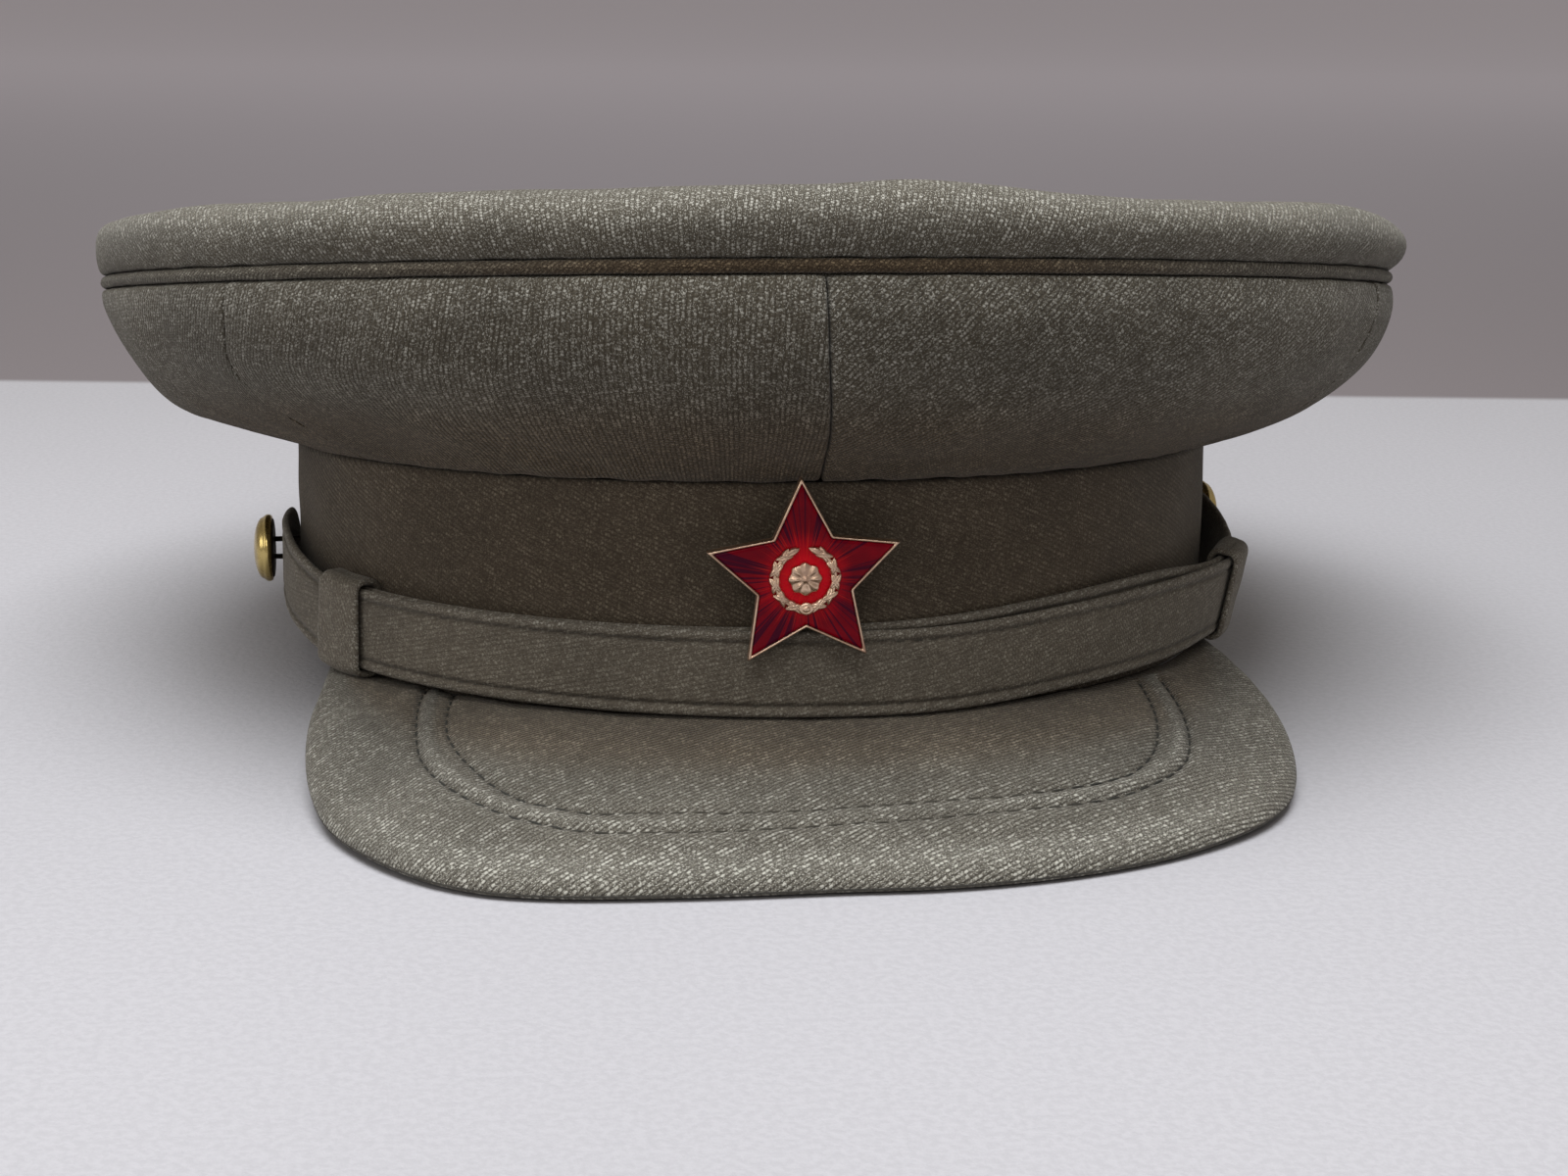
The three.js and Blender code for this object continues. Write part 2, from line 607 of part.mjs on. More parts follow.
// A runner is a flat loop of cloth round both layers.
function runnerLoop(azimuth) {
  const steps = 4;
  const [outerGrid, innerGrid] = [[], []];
  for (let k = 0; k <= steps; k += 1) {
    const a = azimuth + (k / steps - 0.5) * runnerLength * degreesPerMm;
    const place = strapPlace(a, "inner");
    const out = outOf(place);
    const layers = strapPlace(a, "outer").middle.sub(place.middle).dot(out) + strapThickness;
    const loop = (grow) => {
      const halfHeight = strapWidth / 2 + runnerEase + grow;
      const [near, far] = [-runnerEase - grow, layers + runnerEase + grow];
      const corner = Math.min(runnerWall, strapThickness) * 0.5;
      const outline = [
        [-halfHeight, near + corner],
        [-halfHeight + corner, near],
        [halfHeight - corner, near],
        [halfHeight, near + corner],
        [halfHeight, far - corner],
        [halfHeight - corner, far],
        [-halfHeight + corner, far],
        [-halfHeight, far - corner],
      ];
      return outline.map(([up, forward]) =>
        place.middle.clone().addScaledVector(place.across, up).addScaledVector(out, forward),
      );
    };
    outerGrid.push(loop(runnerWall));
    innerGrid.push(loop(0));
  }
  return wallSolid(outerGrid, innerGrid, { loop: true });
}

// Side buttons. The button's own frame: +Z out of the band, +Y up, z = 0 on the band's outer face.
function buttonFrame(strap) {
  const place = strapPlace(strap.buttonAzimuth, strap.layer);
  const clearance = tableValue(strapRows, "azimuth", strap.buttonAzimuth, strap.layer) * strapThickness;
  const out = bandNormal(strap.buttonAzimuth);
  const up = vec(0, 0, 1);
  const matrix = new THREE.Matrix4().makeBasis(up.clone().cross(out), up, out);
  matrix.setPosition(place.middle.clone().addScaledVector(out, -clearance));
  return { matrix, plateAt: clearance + strapThickness + buttonStandoff };
}

function wireLoop(spacing, wire, from, to) {
  const half = spacing / 2;
  const bend = 6;
  const points = [vec(0, half, from), vec(0, half, to + half)];
  for (let k = 1; k < bend; k += 1) {
    const turn = (k * Math.PI) / bend;
    points.push(vec(0, half * Math.cos(turn), to + half - half * Math.sin(turn)));
  }
  points.push(vec(0, -half, to + half), vec(0, -half, from));
  const sides = 6;
  const rings = points.map((p, k) => {
    const before = points[Math.max(k - 1, 0)];
    const after = points[Math.min(k + 1, points.length - 1)];
    const along = after.clone().sub(before).normalize();
    const square = along.clone().cross(vec(1, 0, 0)).normalize();
    return Array.from({ length: sides }, (_, s) => {
      const turn = (s * 2 * Math.PI) / sides;
      return p
        .clone()
        .addScaledVector(vec(1, 0, 0), (wire / 2) * Math.cos(turn))
        .addScaledVector(square, (wire / 2) * Math.sin(turn));
    });
  });
  return ringSolid(rings);
}

function buttonWithShank(plateAt) {
  const sides = 20;
  const profile = buttonProfileRows.map(
    (row) => new THREE.Vector2((row.radius * buttonDiameter) / 2, row.rise * buttonRise),
  );
  const dome = new THREE.LatheGeometry(profile, sides);
  dome.rotateX(Math.PI / 2);
  dome.translate(0, 0, plateAt);
  const loop = wireLoop(shankSpacing, shankWire, plateAt + shankWire / 2, -bandWall - shankTail);
  return join(dome, loop);
}

function shankSlot(plateAt) {
  const slot = new THREE.BoxGeometry(
    shankWire + 2 * holeClearance,
    shankSpacing + shankWire + 2 * holeClearance,
    2 * (plateAt + bandWall + shankTail),
  );
  return slot;
}

function shankPin() {
  const pin = new THREE.CylinderGeometry(pinDiameter / 2, pinDiameter / 2, pinLength, 10);
  pin.rotateZ(Math.PI / 2);
  const bow = (pinLength / 2) ** 2 / (2 * (bandHalfWidth - bandWall));
  pin.translate(0, 0, -bandWall - gap - bow - pinDiameter / 2);
  return pin;
}

// Star badge. Its own frame: +Z out of the cap's front, +Y up, z = 0 on the plate's back.
const starRadius = starSpan / (2 * Math.sin(radians(72)));
const starHeight = bandFrontHeight + starTipRise - starRadius;

function starShape(inset) {
  // Moving every side in by the inset keeps the star's shape, so all its corners move in by one share.
  const inner = starInnerShare * starRadius;
  const tip = vec(0, starRadius, 0);
  const corner = vec(inner * Math.sin(radians(36)), inner * Math.cos(radians(36)), 0);
  const side = corner.clone().sub(tip);
  const distance = Math.abs(tip.x * side.y - tip.y * side.x) / side.length();
  const share = (distance - inset) / distance;
  const shape = new THREE.Shape();
  for (let k = 0; k < 10; k += 1) {
    const radius = share * (k % 2 ? inner : starRadius);
    const turn = radians(36 * k);
    const [x, y] = [radius * Math.sin(turn), radius * Math.cos(turn)];
    if (k === 0) shape.moveTo(x, y);
    else shape.lineTo(x, y);
  }
  return shape;
}

const extruded = (shape, depth, z = 0) =>
  new THREE.ExtrudeGeometry(shape, { depth, bevelEnabled: false }).translate(0, 0, z);

function starPlateWithRim() {
  const tray = extruded(starShape(starRimWidth), 2 * starRimRise, starPlate);
  return cut(extruded(starShape(0), starPlate + starRimRise), tray);
}

function leaf(azimuth, turn) {
  const [l, w, t] = [leafLength / 2, leafWidth / 2, leafThickness];
  const broad = -0.2 * l; // the widest place, nearer to the stem
  const vertices = [
    vec(0, l, 0),
    vec(w, broad, 0),
    vec(0, -l, 0),
    vec(-w, broad, 0),
    vec(0, broad, t),
    vec(0, 0, -t / 2),
  ];
  const triangles = [
    [0, 3, 4], [3, 2, 4], [2, 1, 4], [1, 0, 4],
    [3, 0, 5], [2, 3, 5], [1, 2, 5], [0, 1, 5],
  ];
  const made = geometryOf(vertices, triangles);
  made.rotateZ(radians(turn));
  made.translate(wreathRadius * Math.sin(radians(azimuth)), wreathRadius * Math.cos(radians(azimuth)), 0);
  return made;
}

// An open wreath of leaves on two stems, tied at the foot, as an applied gilt ornament.
function wreath(z) {
  const stemSteps = 14;
  const rings = [];
  for (let k = 0; k <= stemSteps; k += 1) {
    const azimuth = lerp(wreathOpening, 360 - wreathOpening, k / stemSteps);
    const out = vec(Math.sin(radians(azimuth)), Math.cos(radians(azimuth)), 0);
    rings.push(
      Array.from({ length: 5 }, (_, s) => {
        const turn = (s * 2 * Math.PI) / 5;
        return out
          .clone()
          .multiplyScalar(wreathRadius + (wreathWire / 2) * Math.cos(turn))
          .add(vec(0, 0, (wreathWire / 2) * Math.sin(turn)));
      }),
    );
  }
  const pieces = [ringSolid(rings)];
  for (const side of [1, -1]) {
    for (let k = 0; k < wreathLeafPairs; k += 1) {
      const azimuth = lerp(wreathFoot, wreathOpening + wreathNext, k / (wreathLeafPairs - 1)) * side;
      for (const lean of [leafSplay, -leafSplay]) pieces.push(leaf(azimuth, 90 * side - azimuth + lean));
    }
    const tip = wreathOpening * side;
    pieces.push(leaf(tip, 90 * side - tip));
  }
  const knot = new THREE.SphereGeometry(wreathKnot, 10, 6);
  knot.scale(1, 0.8, 0.7);
  knot.translate(0, -wreathRadius, 0);
  pieces.push(knot);
  const clear = new THREE.BoxGeometry(4 * wreathRadius, 4 * wreathRadius, wreathRadius);
  clear.translate(0, 0, -wreathRadius / 2 - 0.1);
  return cut(join(...pieces), clear).translate(0, 0, z + 0.1);
}

// The strap's outer face at the star, which the star's back has to clear
const strapFace = (tableValue(strapRows, "azimuth", 0, "outer") + 1) * strapThickness;
const starFoot = starRadius * Math.cos(radians(36 - starTurn));
const starStandoff = strapFace + gap + starFoot * Math.tan(radians(starLean));

function starFrame() {
  const matrix = new THREE.Matrix4()
    .makeTranslation(starSide, -bandHalfLength - starStandoff, starHeight)
    .multiply(new THREE.Matrix4().makeRotationX(Math.PI / 2 + radians(starLean)))
    .multiply(new THREE.Matrix4().makeRotationZ(radians(starTurn)));
  return matrix;
}

// Hidden post and nut, drawn along the band's own normal at the front.
function badgePost() {
  const bow = (nutDiameter / 2) ** 2 / (2 * (bandHalfWidth - bandWall));
  const nutAt = bandWall + gap + bow;
  const lean = (postDiameter / 2) * Math.tan(radians(starLean));
  const profile = [
    [0, starStandoff - gap - lean],
    [postDiameter / 2, starStandoff - gap - lean],
    [postDiameter / 2, -nutAt],
    [nutDiameter / 2, -nutAt],
    [nutDiameter / 2, -nutAt - nutThickness],
    [0, -nutAt - nutThickness],
  ].map(([r, along]) => new THREE.Vector2(r, along));
  const post = new THREE.LatheGeometry(profile.reverse(), 20);
  post.rotateX(Math.PI);
  post.translate(starSide, -bandHalfLength, starHeight);
  return post;
}

function postHole() {
  const radius = postDiameter / 2 + holeClearance;
  const hole = new THREE.CylinderGeometry(radius, radius, 6 * bandWall, 20);
  return hole.translate(starSide, -bandHalfLength, starHeight);
}

// Assembly
const cap = new THREE.Group();
const add = (name, geometry, material, matrix) => {
  const mesh = new THREE.Mesh(geometry, material);
  mesh.name = name;
  if (matrix) mesh.applyMatrix4(matrix);
  cap.add(mesh);
  return mesh;
};

const leftButton = buttonFrame(outerStrap);
const rightButton = buttonFrame(innerStrap);
const placedSlot = (frame) => shankSlot(frame.plateAt).applyMatrix4(frame.matrix);

add("band", cut(bandShell(), postHole(), placedSlot(leftButton), placedSlot(rightButton), floorSlab()), cloth);
add("crown_quarter_front_right", quarterPanel(0, sideSeamRight), cloth);
add("crown_quarter_back_right", quarterPanel(sideSeamRight, 180), cloth);
add("crown_quarter_back_left", quarterPanel(180, 360 - sideSeamLeft), cloth);
add("crown_quarter_front_left", quarterPanel(360 - sideSeamLeft, 360), cloth);
add("crown_welt", weltRing(), cloth);
add("crown_top", topPanel(), cloth);
add("visor", cut(visorShell(), floorSlab()), cloth);
add("chin_strap_outer", cut(strapLayer(outerStrap), placedSlot(leftButton)), cloth);
add("chin_strap_inner", cut(strapLayer(innerStrap), placedSlot(rightButton)), cloth);
for (const { name, azimuth } of runners) add(name, runnerLoop(azimuth), cloth);
for (const [side, frame] of [["left", leftButton], ["right", rightButton]]) {
  add("button_" + side, buttonWithShank(frame.plateAt), brass, frame.matrix);
  add("button_pin_" + side, shankPin(), steel, frame.matrix);
}
add("badge_star", starPlateWithRim(), gilt, starFrame());
const enamelShape = starShape(starRimWidth + gap);
add("badge_enamel", extruded(enamelShape, enamelThickness, starPlate + gap), enamel, starFrame());
add("badge_wreath", wreath(starPlate + enamelThickness + 2 * gap), gilt, starFrame());
add("badge_post", badgePost(), steel);

// Lean the cap back onto its visor and set the middle of its foot on the origin
cap.rotation.x = -restTilt;
const forageCap = new THREE.Group();
forageCap.add(cap);
forageCap.updateMatrixWorld(true);
const box = new THREE.Box3().setFromObject(forageCap, true);
const middle = box.getCenter(new THREE.Vector3());
cap.position.set(-middle.x, -middle.y, -box.min.z);

export default forageCap;
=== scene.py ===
"""A khaki cloth forage cap with a welted crown, a cloth visor, a chin strap and an enamelled star.

The shapes are drawn in millimetres in the cap's own frame: the band stands on z = 0, the front faces -Y
and +X is to the right of someone looking at the front. Azimuths are in degrees: 0 front, 90 right, 180
back. placed() leans that frame back, so that it rests on the visor's edge and the back of the band, and
scales it to metres.
"""
import math

import bmesh
import bpy
import numpy as np
from mathutils import Matrix, Vector
from mathutils.bvhtree import BVHTree


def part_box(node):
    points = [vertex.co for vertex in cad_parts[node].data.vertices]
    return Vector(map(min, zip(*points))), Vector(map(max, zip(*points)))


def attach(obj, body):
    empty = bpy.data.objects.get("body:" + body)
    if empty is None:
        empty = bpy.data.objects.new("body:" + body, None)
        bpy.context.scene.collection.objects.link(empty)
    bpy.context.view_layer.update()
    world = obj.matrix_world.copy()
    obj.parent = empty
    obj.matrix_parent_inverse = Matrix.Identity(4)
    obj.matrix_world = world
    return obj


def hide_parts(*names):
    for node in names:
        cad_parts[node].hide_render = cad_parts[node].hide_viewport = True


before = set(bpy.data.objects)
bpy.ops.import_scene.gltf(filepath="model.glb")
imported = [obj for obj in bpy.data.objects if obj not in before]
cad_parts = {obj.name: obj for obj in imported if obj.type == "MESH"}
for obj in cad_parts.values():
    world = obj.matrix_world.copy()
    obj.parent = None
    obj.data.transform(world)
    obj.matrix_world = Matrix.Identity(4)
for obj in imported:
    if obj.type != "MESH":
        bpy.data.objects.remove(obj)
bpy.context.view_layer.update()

# ---------------------------------------------------------------- dimensions, in millimetres
BAND_HALF_WIDTH, BAND_HALF_LENGTH = 95, 99.5
BAND_FRONT, BAND_BACK, BAND_WALL = 42.5, 38, 2.6
CROWN_HALF_WIDTH, CROWN_HALF_LENGTH = 132.5, 130
WELT_FRONT, WELT_BACK = BAND_FRONT + 39.5, BAND_BACK + 22
WELT_RADIUS, WELT_GIRTH, WELT_PROUD = 1.5, 1.2, 0.6  # room for the welt, its own radius, how far it stands out
SEAM_LEFT, SEAM_RIGHT = 50, 54  # azimuths of the side seams
SEAM_HALF_GAP, STATION_PITCH = 0.03, 1.9  # from a panel's end to its seam, and between its lines of points
CROWN_MEAN, QUARTER_MEAN, BAND_MEAN = 131, 122, 97.2  # radii that turn azimuths into lengths along the cloth
CROWN_FLAT = 1.1  # the crown is this much flatter on the right
CLOTH_WALL, GAP = 2, 0.3
TOP_HEIGHT, TOP_ROLL, TOP_SAG = 12.6, 17, 3
VISOR_REACH, VISOR_DROP, VISOR_THICKNESS, VISOR_CAMBER = 51.3, 17.3, 3.4, 2.6
VISOR_ROOT_TOP, VISOR_CORNER = 0.8, 0.8
VISOR_ENDS = {-1: (63.5, 2.9), 1: (69, 3.4)}  # azimuth of each end and how far its side stands out
REST_FLAT, TABLE_GAP = 0.35, 0.03  # the cap sinks this far and is flat where it rests, this far above the table
STRAP_WIDTH, STRAP_THICKNESS, STRAP_TAIL = 15.5, 1.4, 13.3
STITCH_IN = 2.1  # from the strap's edge to its stitching
RUNNER_LENGTH, RUNNER_WALL, RUNNER_EASE = 13, 1.1, 0.45
BUTTON_RADIUS, BUTTON_RISE, BUTTON_STANDOFF = 7, 4.2, 2.3
SHANK_WIRE, SHANK_SPACING, SHANK_TAIL = 1.1, 3.7, 3.4
STAR_RADIUS = 34 / (2 * math.sin(math.radians(72)))
STAR_INNER, STAR_PLATE = 0.5, 1.1  # the inner corners' share of the radius, and the plate's thickness
STAR_SIDE, STAR_LEAN, STAR_TURN, STAR_TIP = -0.4, 4, 2.6, 2.3  # aside, two angles, and the tip above the band
STAR_SOFTEN, ENAMEL_THICKNESS = 0.35, 0.6
# The last three in degrees: the wreath's upper ends, its lowest leaves, and from its end to the next leaves
WREATH_RADIUS, WREATH_OPENING, WREATH_FOOT, WREATH_NEXT = 5.3, 26, 158, 14
LEAF_LENGTH, LEAF_WIDTH, LEAF_THICKNESS, LEAF_LEAN, LEAF_PAIRS = 3.5, 1.5, 0.85, 28, 5
BOSS_RADIUS = 3.0
STAR_MIDDLE = 7.9  # the inset that leaves almost nothing of the star
FAR = 60.0  # distance to a row of stitching where there is none
DEGREES_PER_MM = math.degrees(1 / BAND_HALF_WIDTH)
RIB = 0.86  # from one rib of the twill to the next

# Shares of the reach outwards and of the rise, from the band to the welt
QUARTER_ROWS = [  # azimuth, under, belly, flank, shoulder
    (0, 0.24, 0.12, 0.6, 0.3, 0.9, 0.58, 1.02, 0.85),
    (78, 0.3, 0.09, 0.62, 0.26, 0.9, 0.56, 1.01, 0.85),
    (135, 0.3, 0.1, 0.66, 0.3, 0.92, 0.6, 1.01, 0.86),
    (180, 0.3, 0.12, 0.68, 0.36, 0.93, 0.64, 1.02, 0.86),
    (225, 0.32, 0.09, 0.66, 0.28, 0.9, 0.58, 1, 0.86),
    (262, 0.32, 0.055, 0.62, 0.155, 0.86, 0.54, 0.985, 0.86),
    (282, 0.3, 0.085, 0.61, 0.24, 0.875, 0.58, 0.995, 0.86),
    (305, 0.26, 0.14, 0.58, 0.35, 0.88, 0.62, 1, 0.86),
]
TOP_EDGE_ROWS = [  # azimuth, bulge past the welt and small rises of the ridge, in edge heights
    (-2, 0.14, 0.08), (8, 0.15, 0.15), (18, 0.15, 0.02), (36, 0.16, -0.05), (62, 0.2, -0.05), (90, 0.24, -0.02),
    (135, 0.2, 0.02), (180, 0.16, 0), (225, 0.13, 0.03), (270, 0.07, -0.04), (308, 0.11, 0), (338, 0.13, 0.05),
]
TOP_SECTION_ROWS = [  # shares of the roll inwards, of the edge's height and of its bulge
    (0, 0, 0), (0, 0.2, 0.75), (0, 0.45, 1), (0.05, 0.68, 0.9), (0.2, 0.88, 0.6), (0.48, 0.98, 0.25), (1, 1, 0),
]
VISOR_EDGE_ROWS = [  # shares of the half width and of the length, left and right of the middle
    (0, 1, 0, 1), (0.27, 1.005, 0.18, 0.998), (0.52, 0.994, 0.325, 0.983), (0.645, 0.967, 0.465, 0.955),
    (0.737, 0.922, 0.605, 0.911), (0.816, 0.859, 0.725, 0.857), (0.884, 0.781, 0.828, 0.793),
    (0.939, 0.691, 0.9, 0.722), (0.977, 0.578, 0.955, 0.628), (0.997, 0.451, 0.99, 0.506),
    (1, 0.329, 1, 0.385), (0.989, 0.193, 0.991, 0.228), (0.98, 0.019, 0.976, 0.028),
]
# The visor's two rows of stitching in plan
OUTER_ROW = [
    (-67.1, -72), (-68.2, -82.6), (-67.9, -101), (-66.5, -109.4), (-63, -118.7), (-56.8, -127.6), (-51, -132.7),
    (-41.6, -137.4), (-33.2, -138.9), (-23.4, -139.5), (-7.5, -139.1), (8.6, -138.1), (25.7, -135.4),
    (45.4, -130.8), (52.3, -127.5), (61, -120.6), (65.8, -114.8), (68.3, -108.4), (70.8, -96), (71.7, -74),
]
INNER_ROW = [
    (-62, -76), (-62.9, -88.6), (-62.5, -100), (-60.1, -109.7), (-56.9, -117.9), (-53.9, -123.2), (-49.7, -128),
    (-45.9, -130.3), (-39.7, -132.9), (-24, -134.6), (-8.5, -134.8), (4.2, -134.3), (19.6, -132.4), (32.6, -130),
    (45.1, -126.1), (52.6, -122.3), (57.8, -117.2), (61.7, -110.1), (64.6, -99.6), (66.4, -85.9), (66.8, -76),
]
STRAP_ROWS = [  # azimuth, clearance of inner and outer layer in thicknesses, middle and spread in widths, lean
    (-98, 1.1, 1.1, 1.02, 0, 0), (-88, 1.1, 1.3, 1.06, 0, 0), (-78, 1.3, 2, 1.05, 0, 0), (-69, 1.5, 2.75, 0.9, 0, 0),
    (-60, 1.55, 2.85, 0.72, 0, 0), (-50, 1.3, 2.55, 0.67, 0, 0), (-34, 0.75, 2, 0.63, 0, 0),
    (-15, 0.35, 1.6, 0.6, 0.01, 0), (0, 0.25, 1.5, 0.59, 0.04, 0), (15, 0.35, 1.6, 0.61, 0.09, 0),
    (32, 0.75, 2, 0.73, 0.12, 0), (46, 1.4, 2.7, 0.79, 0.12, 2), (58, 2.3, 3.65, 0.78, 0.02, 10),
    (64, 2.6, 3.95, 0.78, 0.02, 12), (74, 2.6, 3.95, 0.86, 0.02, 12), (84, 2, 3.3, 1.08, 0, 4),
    (95, 1.1, 2.4, 1.28, 0, 0), (106, 1.1, 2.4, 1.33, 0, 0),
]
STRAPS = {  # azimuth of the button and of the plain end, column of its clearance
    "outer": (-88, 68, 1),
    "inner": (95, -59.5, 0),
}
RUNNERS = {"left": -56, "right": 66}
# Degrees that each seam of the quarters turns aside, from the band (0) up to the welt (1)
SEAM_SKEW = {
    0: [(0, 1.9), (0.35, 1.4), (0.7, 0.5), (1, 0)],
    SEAM_RIGHT: [(0, 4.5), (0.5, 5), (0.8, 5), (1, 5)],
    180: [(0, 0), (1, 0)],
    360 - SEAM_LEFT: [(0, -4.5), (0.5, -3.9), (0.66, -2.6), (0.82, 0.2), (1, 1.6)],
}
# Distance from a seam, and how far the cloth turns in there
SEAM_DIP = [(0, -1.7), (0.12, -0.85), (0.35, -0.38), (0.8, -0.14), (1.6, -0.05), (3, 0), (4, 0)]
# Shares of that at each seam, at the band and at the welt
SEAM_DEPTH = {0: (1, 1), SEAM_RIGHT: (0.4, 0.6), 180: (1, 1), 360 - SEAM_LEFT: (0.02, 0.4)}
SEAM_SKEW[360], SEAM_DEPTH[360] = SEAM_SKEW[0], SEAM_DEPTH[0]

LEAN = math.atan(VISOR_DROP / (2 * BAND_HALF_LENGTH + VISOR_REACH))
band_low, band_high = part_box("band")
CAP = (
    Matrix.Translation((
        (band_low.x + band_high.x) / 2,
        band_high.y - (BAND_HALF_LENGTH * math.cos(LEAN) + BAND_BACK * math.sin(LEAN)) / 1000,
        (BAND_HALF_LENGTH * math.sin(LEAN) - REST_FLAT) / 1000,
    ))
    @ Matrix.Rotation(-LEAN, 4, "X")
    @ Matrix.Scale(0.001, 4)
)


# ---------------------------------------------------------------- curves and tables
def transformed(points, matrix):
    m = np.array(matrix)
    return np.asarray(points, float) @ m[:3, :3].T + m[:3, 3]


def placed(points):
    """Points of the cap's frame in metres, flattened where they rest on the table."""
    out = transformed(points, CAP)
    out[..., 2] = np.maximum(out[..., 2], TABLE_GAP / 1000)
    return out


def table_value(rows, at, period=0):
    """Smooth values of a table's columns at places between its rows."""
    rows = np.array(rows, float)
    x, y = rows[:, 0], rows[:, 1:]
    if period:
        x, y = np.concatenate([x - period, x, x + period]), np.concatenate([y, y, y])
    at = np.clip(np.asarray(at, float), x[0], x[-1])
    k = np.clip(np.searchsorted(x, at) - 1, 0, len(x) - 2)
    before, after = np.maximum(np.arange(len(x)) - 1, 0), np.minimum(np.arange(len(x)) + 1, len(x) - 1)
    slope = (y[after] - y[before]) / (x[after] - x[before])[:, None]
    span = (x[k + 1] - x[k])[..., None]
    t = (at - x[k])[..., None] / span
    return (
        y[k] * (2 * t**3 - 3 * t**2 + 1) + y[k + 1] * (3 * t**2 - 2 * t**3)
        + slope[k] * span * (t**3 - 2 * t**2 + t) + slope[k + 1] * span * (t**3 - t**2)
    )


def lengths_along(path):
    """Distance of each point of a path from its first one."""
    return np.concatenate([[0], np.cumsum(np.linalg.norm(np.diff(path, axis=0), axis=1))])


def rings_round(path, radius, across, up, sides):
    """Rings of points round a path, in the plane of two directions."""
    turn = np.arange(sides)[:, None] * 2 * np.pi / sides
    spoke = across[..., None, :] * np.cos(turn) + up[..., None, :] * np.sin(turn)
    return path[:, None] + np.asarray(radius)[..., None, None] * spoke


def spline(points, shares):
    """Points of a centripetal curve through the given ones, at shares of its length, and their lengths."""
    p = np.asarray(points, float)
    p = np.vstack([2 * p[0] - p[1], p, 2 * p[-1] - p[-2]])
    knots = np.concatenate([[0], np.cumsum(np.sqrt(np.linalg.norm(np.diff(p, axis=0), axis=1)))])
    fine = []
    for k in range(1, len(p) - 2):
        t = np.linspace(knots[k], knots[k + 1], 24, endpoint=k == len(p) - 3)[:, None]
        t0, t1, t2, t3 = knots[k - 1 : k + 3]
        a1 = ((t1 - t) * p[k - 1] + (t - t0) * p[k]) / (t1 - t0)
        a2 = ((t2 - t) * p[k] + (t - t1) * p[k + 1]) / (t2 - t1)
        a3 = ((t3 - t) * p[k + 1] + (t - t2) * p[k + 2]) / (t3 - t2)
        b1, b2 = ((t2 - t) * a1 + (t - t0) * a2) / (t2 - t0), ((t3 - t) * a2 + (t - t1) * a3) / (t3 - t1)
        fine.append(((t2 - t) * b1 + (t - t1) * b2) / (t2 - t1))
    fine = np.vstack(fine)
    length = lengths_along(fine)
    at = np.asarray(shares) * length[-1]
    return np.stack([np.interp(at, length, fine[:, c]) for c in range(fine.shape[1])], -1), at


def sections_of(outlines, shares):
    """Each outline as points at these shares of its length, and their lengths."""
    drawn = [spline(outline, shares) for outline in outlines]
    return np.array([points for points, _ in drawn]), np.array([length for _, length in drawn])


def joined(*values):
    """Points from their coordinates, which may be arrays of different shapes."""
    return np.stack(np.broadcast_arrays(*values), -1)


def unit(v):
    return v / np.maximum(np.linalg.norm(v, axis=-1, keepdims=True), 1e-12)


def smoothstep(x, low, high):
    t = np.clip((x - low) / (high - low), 0, 1)
    return t * t * (3 - 2 * t)


def bell(x, width):
    return np.exp(-((x / width) ** 2))


def on_ellipse(half_width, half_length, azimuth, z=0.0):
    a = np.radians(azimuth)
    return joined(half_width * np.sin(a), -half_length * np.cos(a), z)


def band_normal(azimuth):
    a = np.radians(azimuth)
    return unit(joined(np.sin(a) / BAND_HALF_WIDTH, -np.cos(a) / BAND_HALF_LENGTH, 0))


def band_top(azimuth):
    return (BAND_FRONT + BAND_BACK) / 2 + (BAND_FRONT - BAND_BACK) / 2 * np.cos(np.radians(azimuth))


def welt_plane(y):
    return (WELT_FRONT + WELT_BACK) / 2 - (WELT_FRONT - WELT_BACK) / (2 * CROWN_HALF_LENGTH) * y


def ripple(u, v, *layers):
    """Soft unevenness of cloth. Each layer is the height and rough length of its waves, and a seed."""
    total = 0
    for height, length, seed in layers:
        rng = np.random.default_rng(seed)
        waves = 0
        for _ in range(8):
            angle, phase = rng.uniform(0, 2 * np.pi, 2)
            wave = length * rng.uniform(0.7, 1.7)
            waves = waves + np.sin(2 * np.pi * (u * np.cos(angle) + v * np.sin(angle)) / wave + phase)
        total = total + height * (waves / 4)
    return total


def grid_normals(grid, closed=(False, False)):
    """Unit normals of a grid of points, by differences along its rows and columns."""
    def step(axis, wrap):
        if wrap:
            return np.roll(grid, -1, axis) - np.roll(grid, 1, axis)
        return np.gradient(grid, axis=axis)
    return unit(np.cross(step(0, closed[0]), step(1, closed[1])))


# ---------------------------------------------------------------- mesh pieces
def grid_faces(rows, columns, closed=(False, False), caps=False, start=0):
    """Faces of a grid of rows by columns. Caps close the ends of a grid whose columns run round."""
    i = np.arange(rows if closed[0] else rows - 1)[:, None]
    j = np.arange(columns if closed[1] else columns - 1)[None, :]
    i2, j2 = (i + 1) % rows, (j + 1) % columns
    quads = np.stack([i * columns + j, i2 * columns + j, i2 * columns + j2, i * columns + j2], -1).reshape(-1, 4)
    faces = (quads + start).tolist()
    if caps:
        faces.append(list(range(start + columns - 1, start - 1, -1)))
        faces.append(list(range(start + (rows - 1) * columns, start + rows * columns)))
    return faces


def linked(name, data):
    made = bpy.data.objects.new(name, data)
    bpy.context.scene.collection.objects.link(made)
    return made


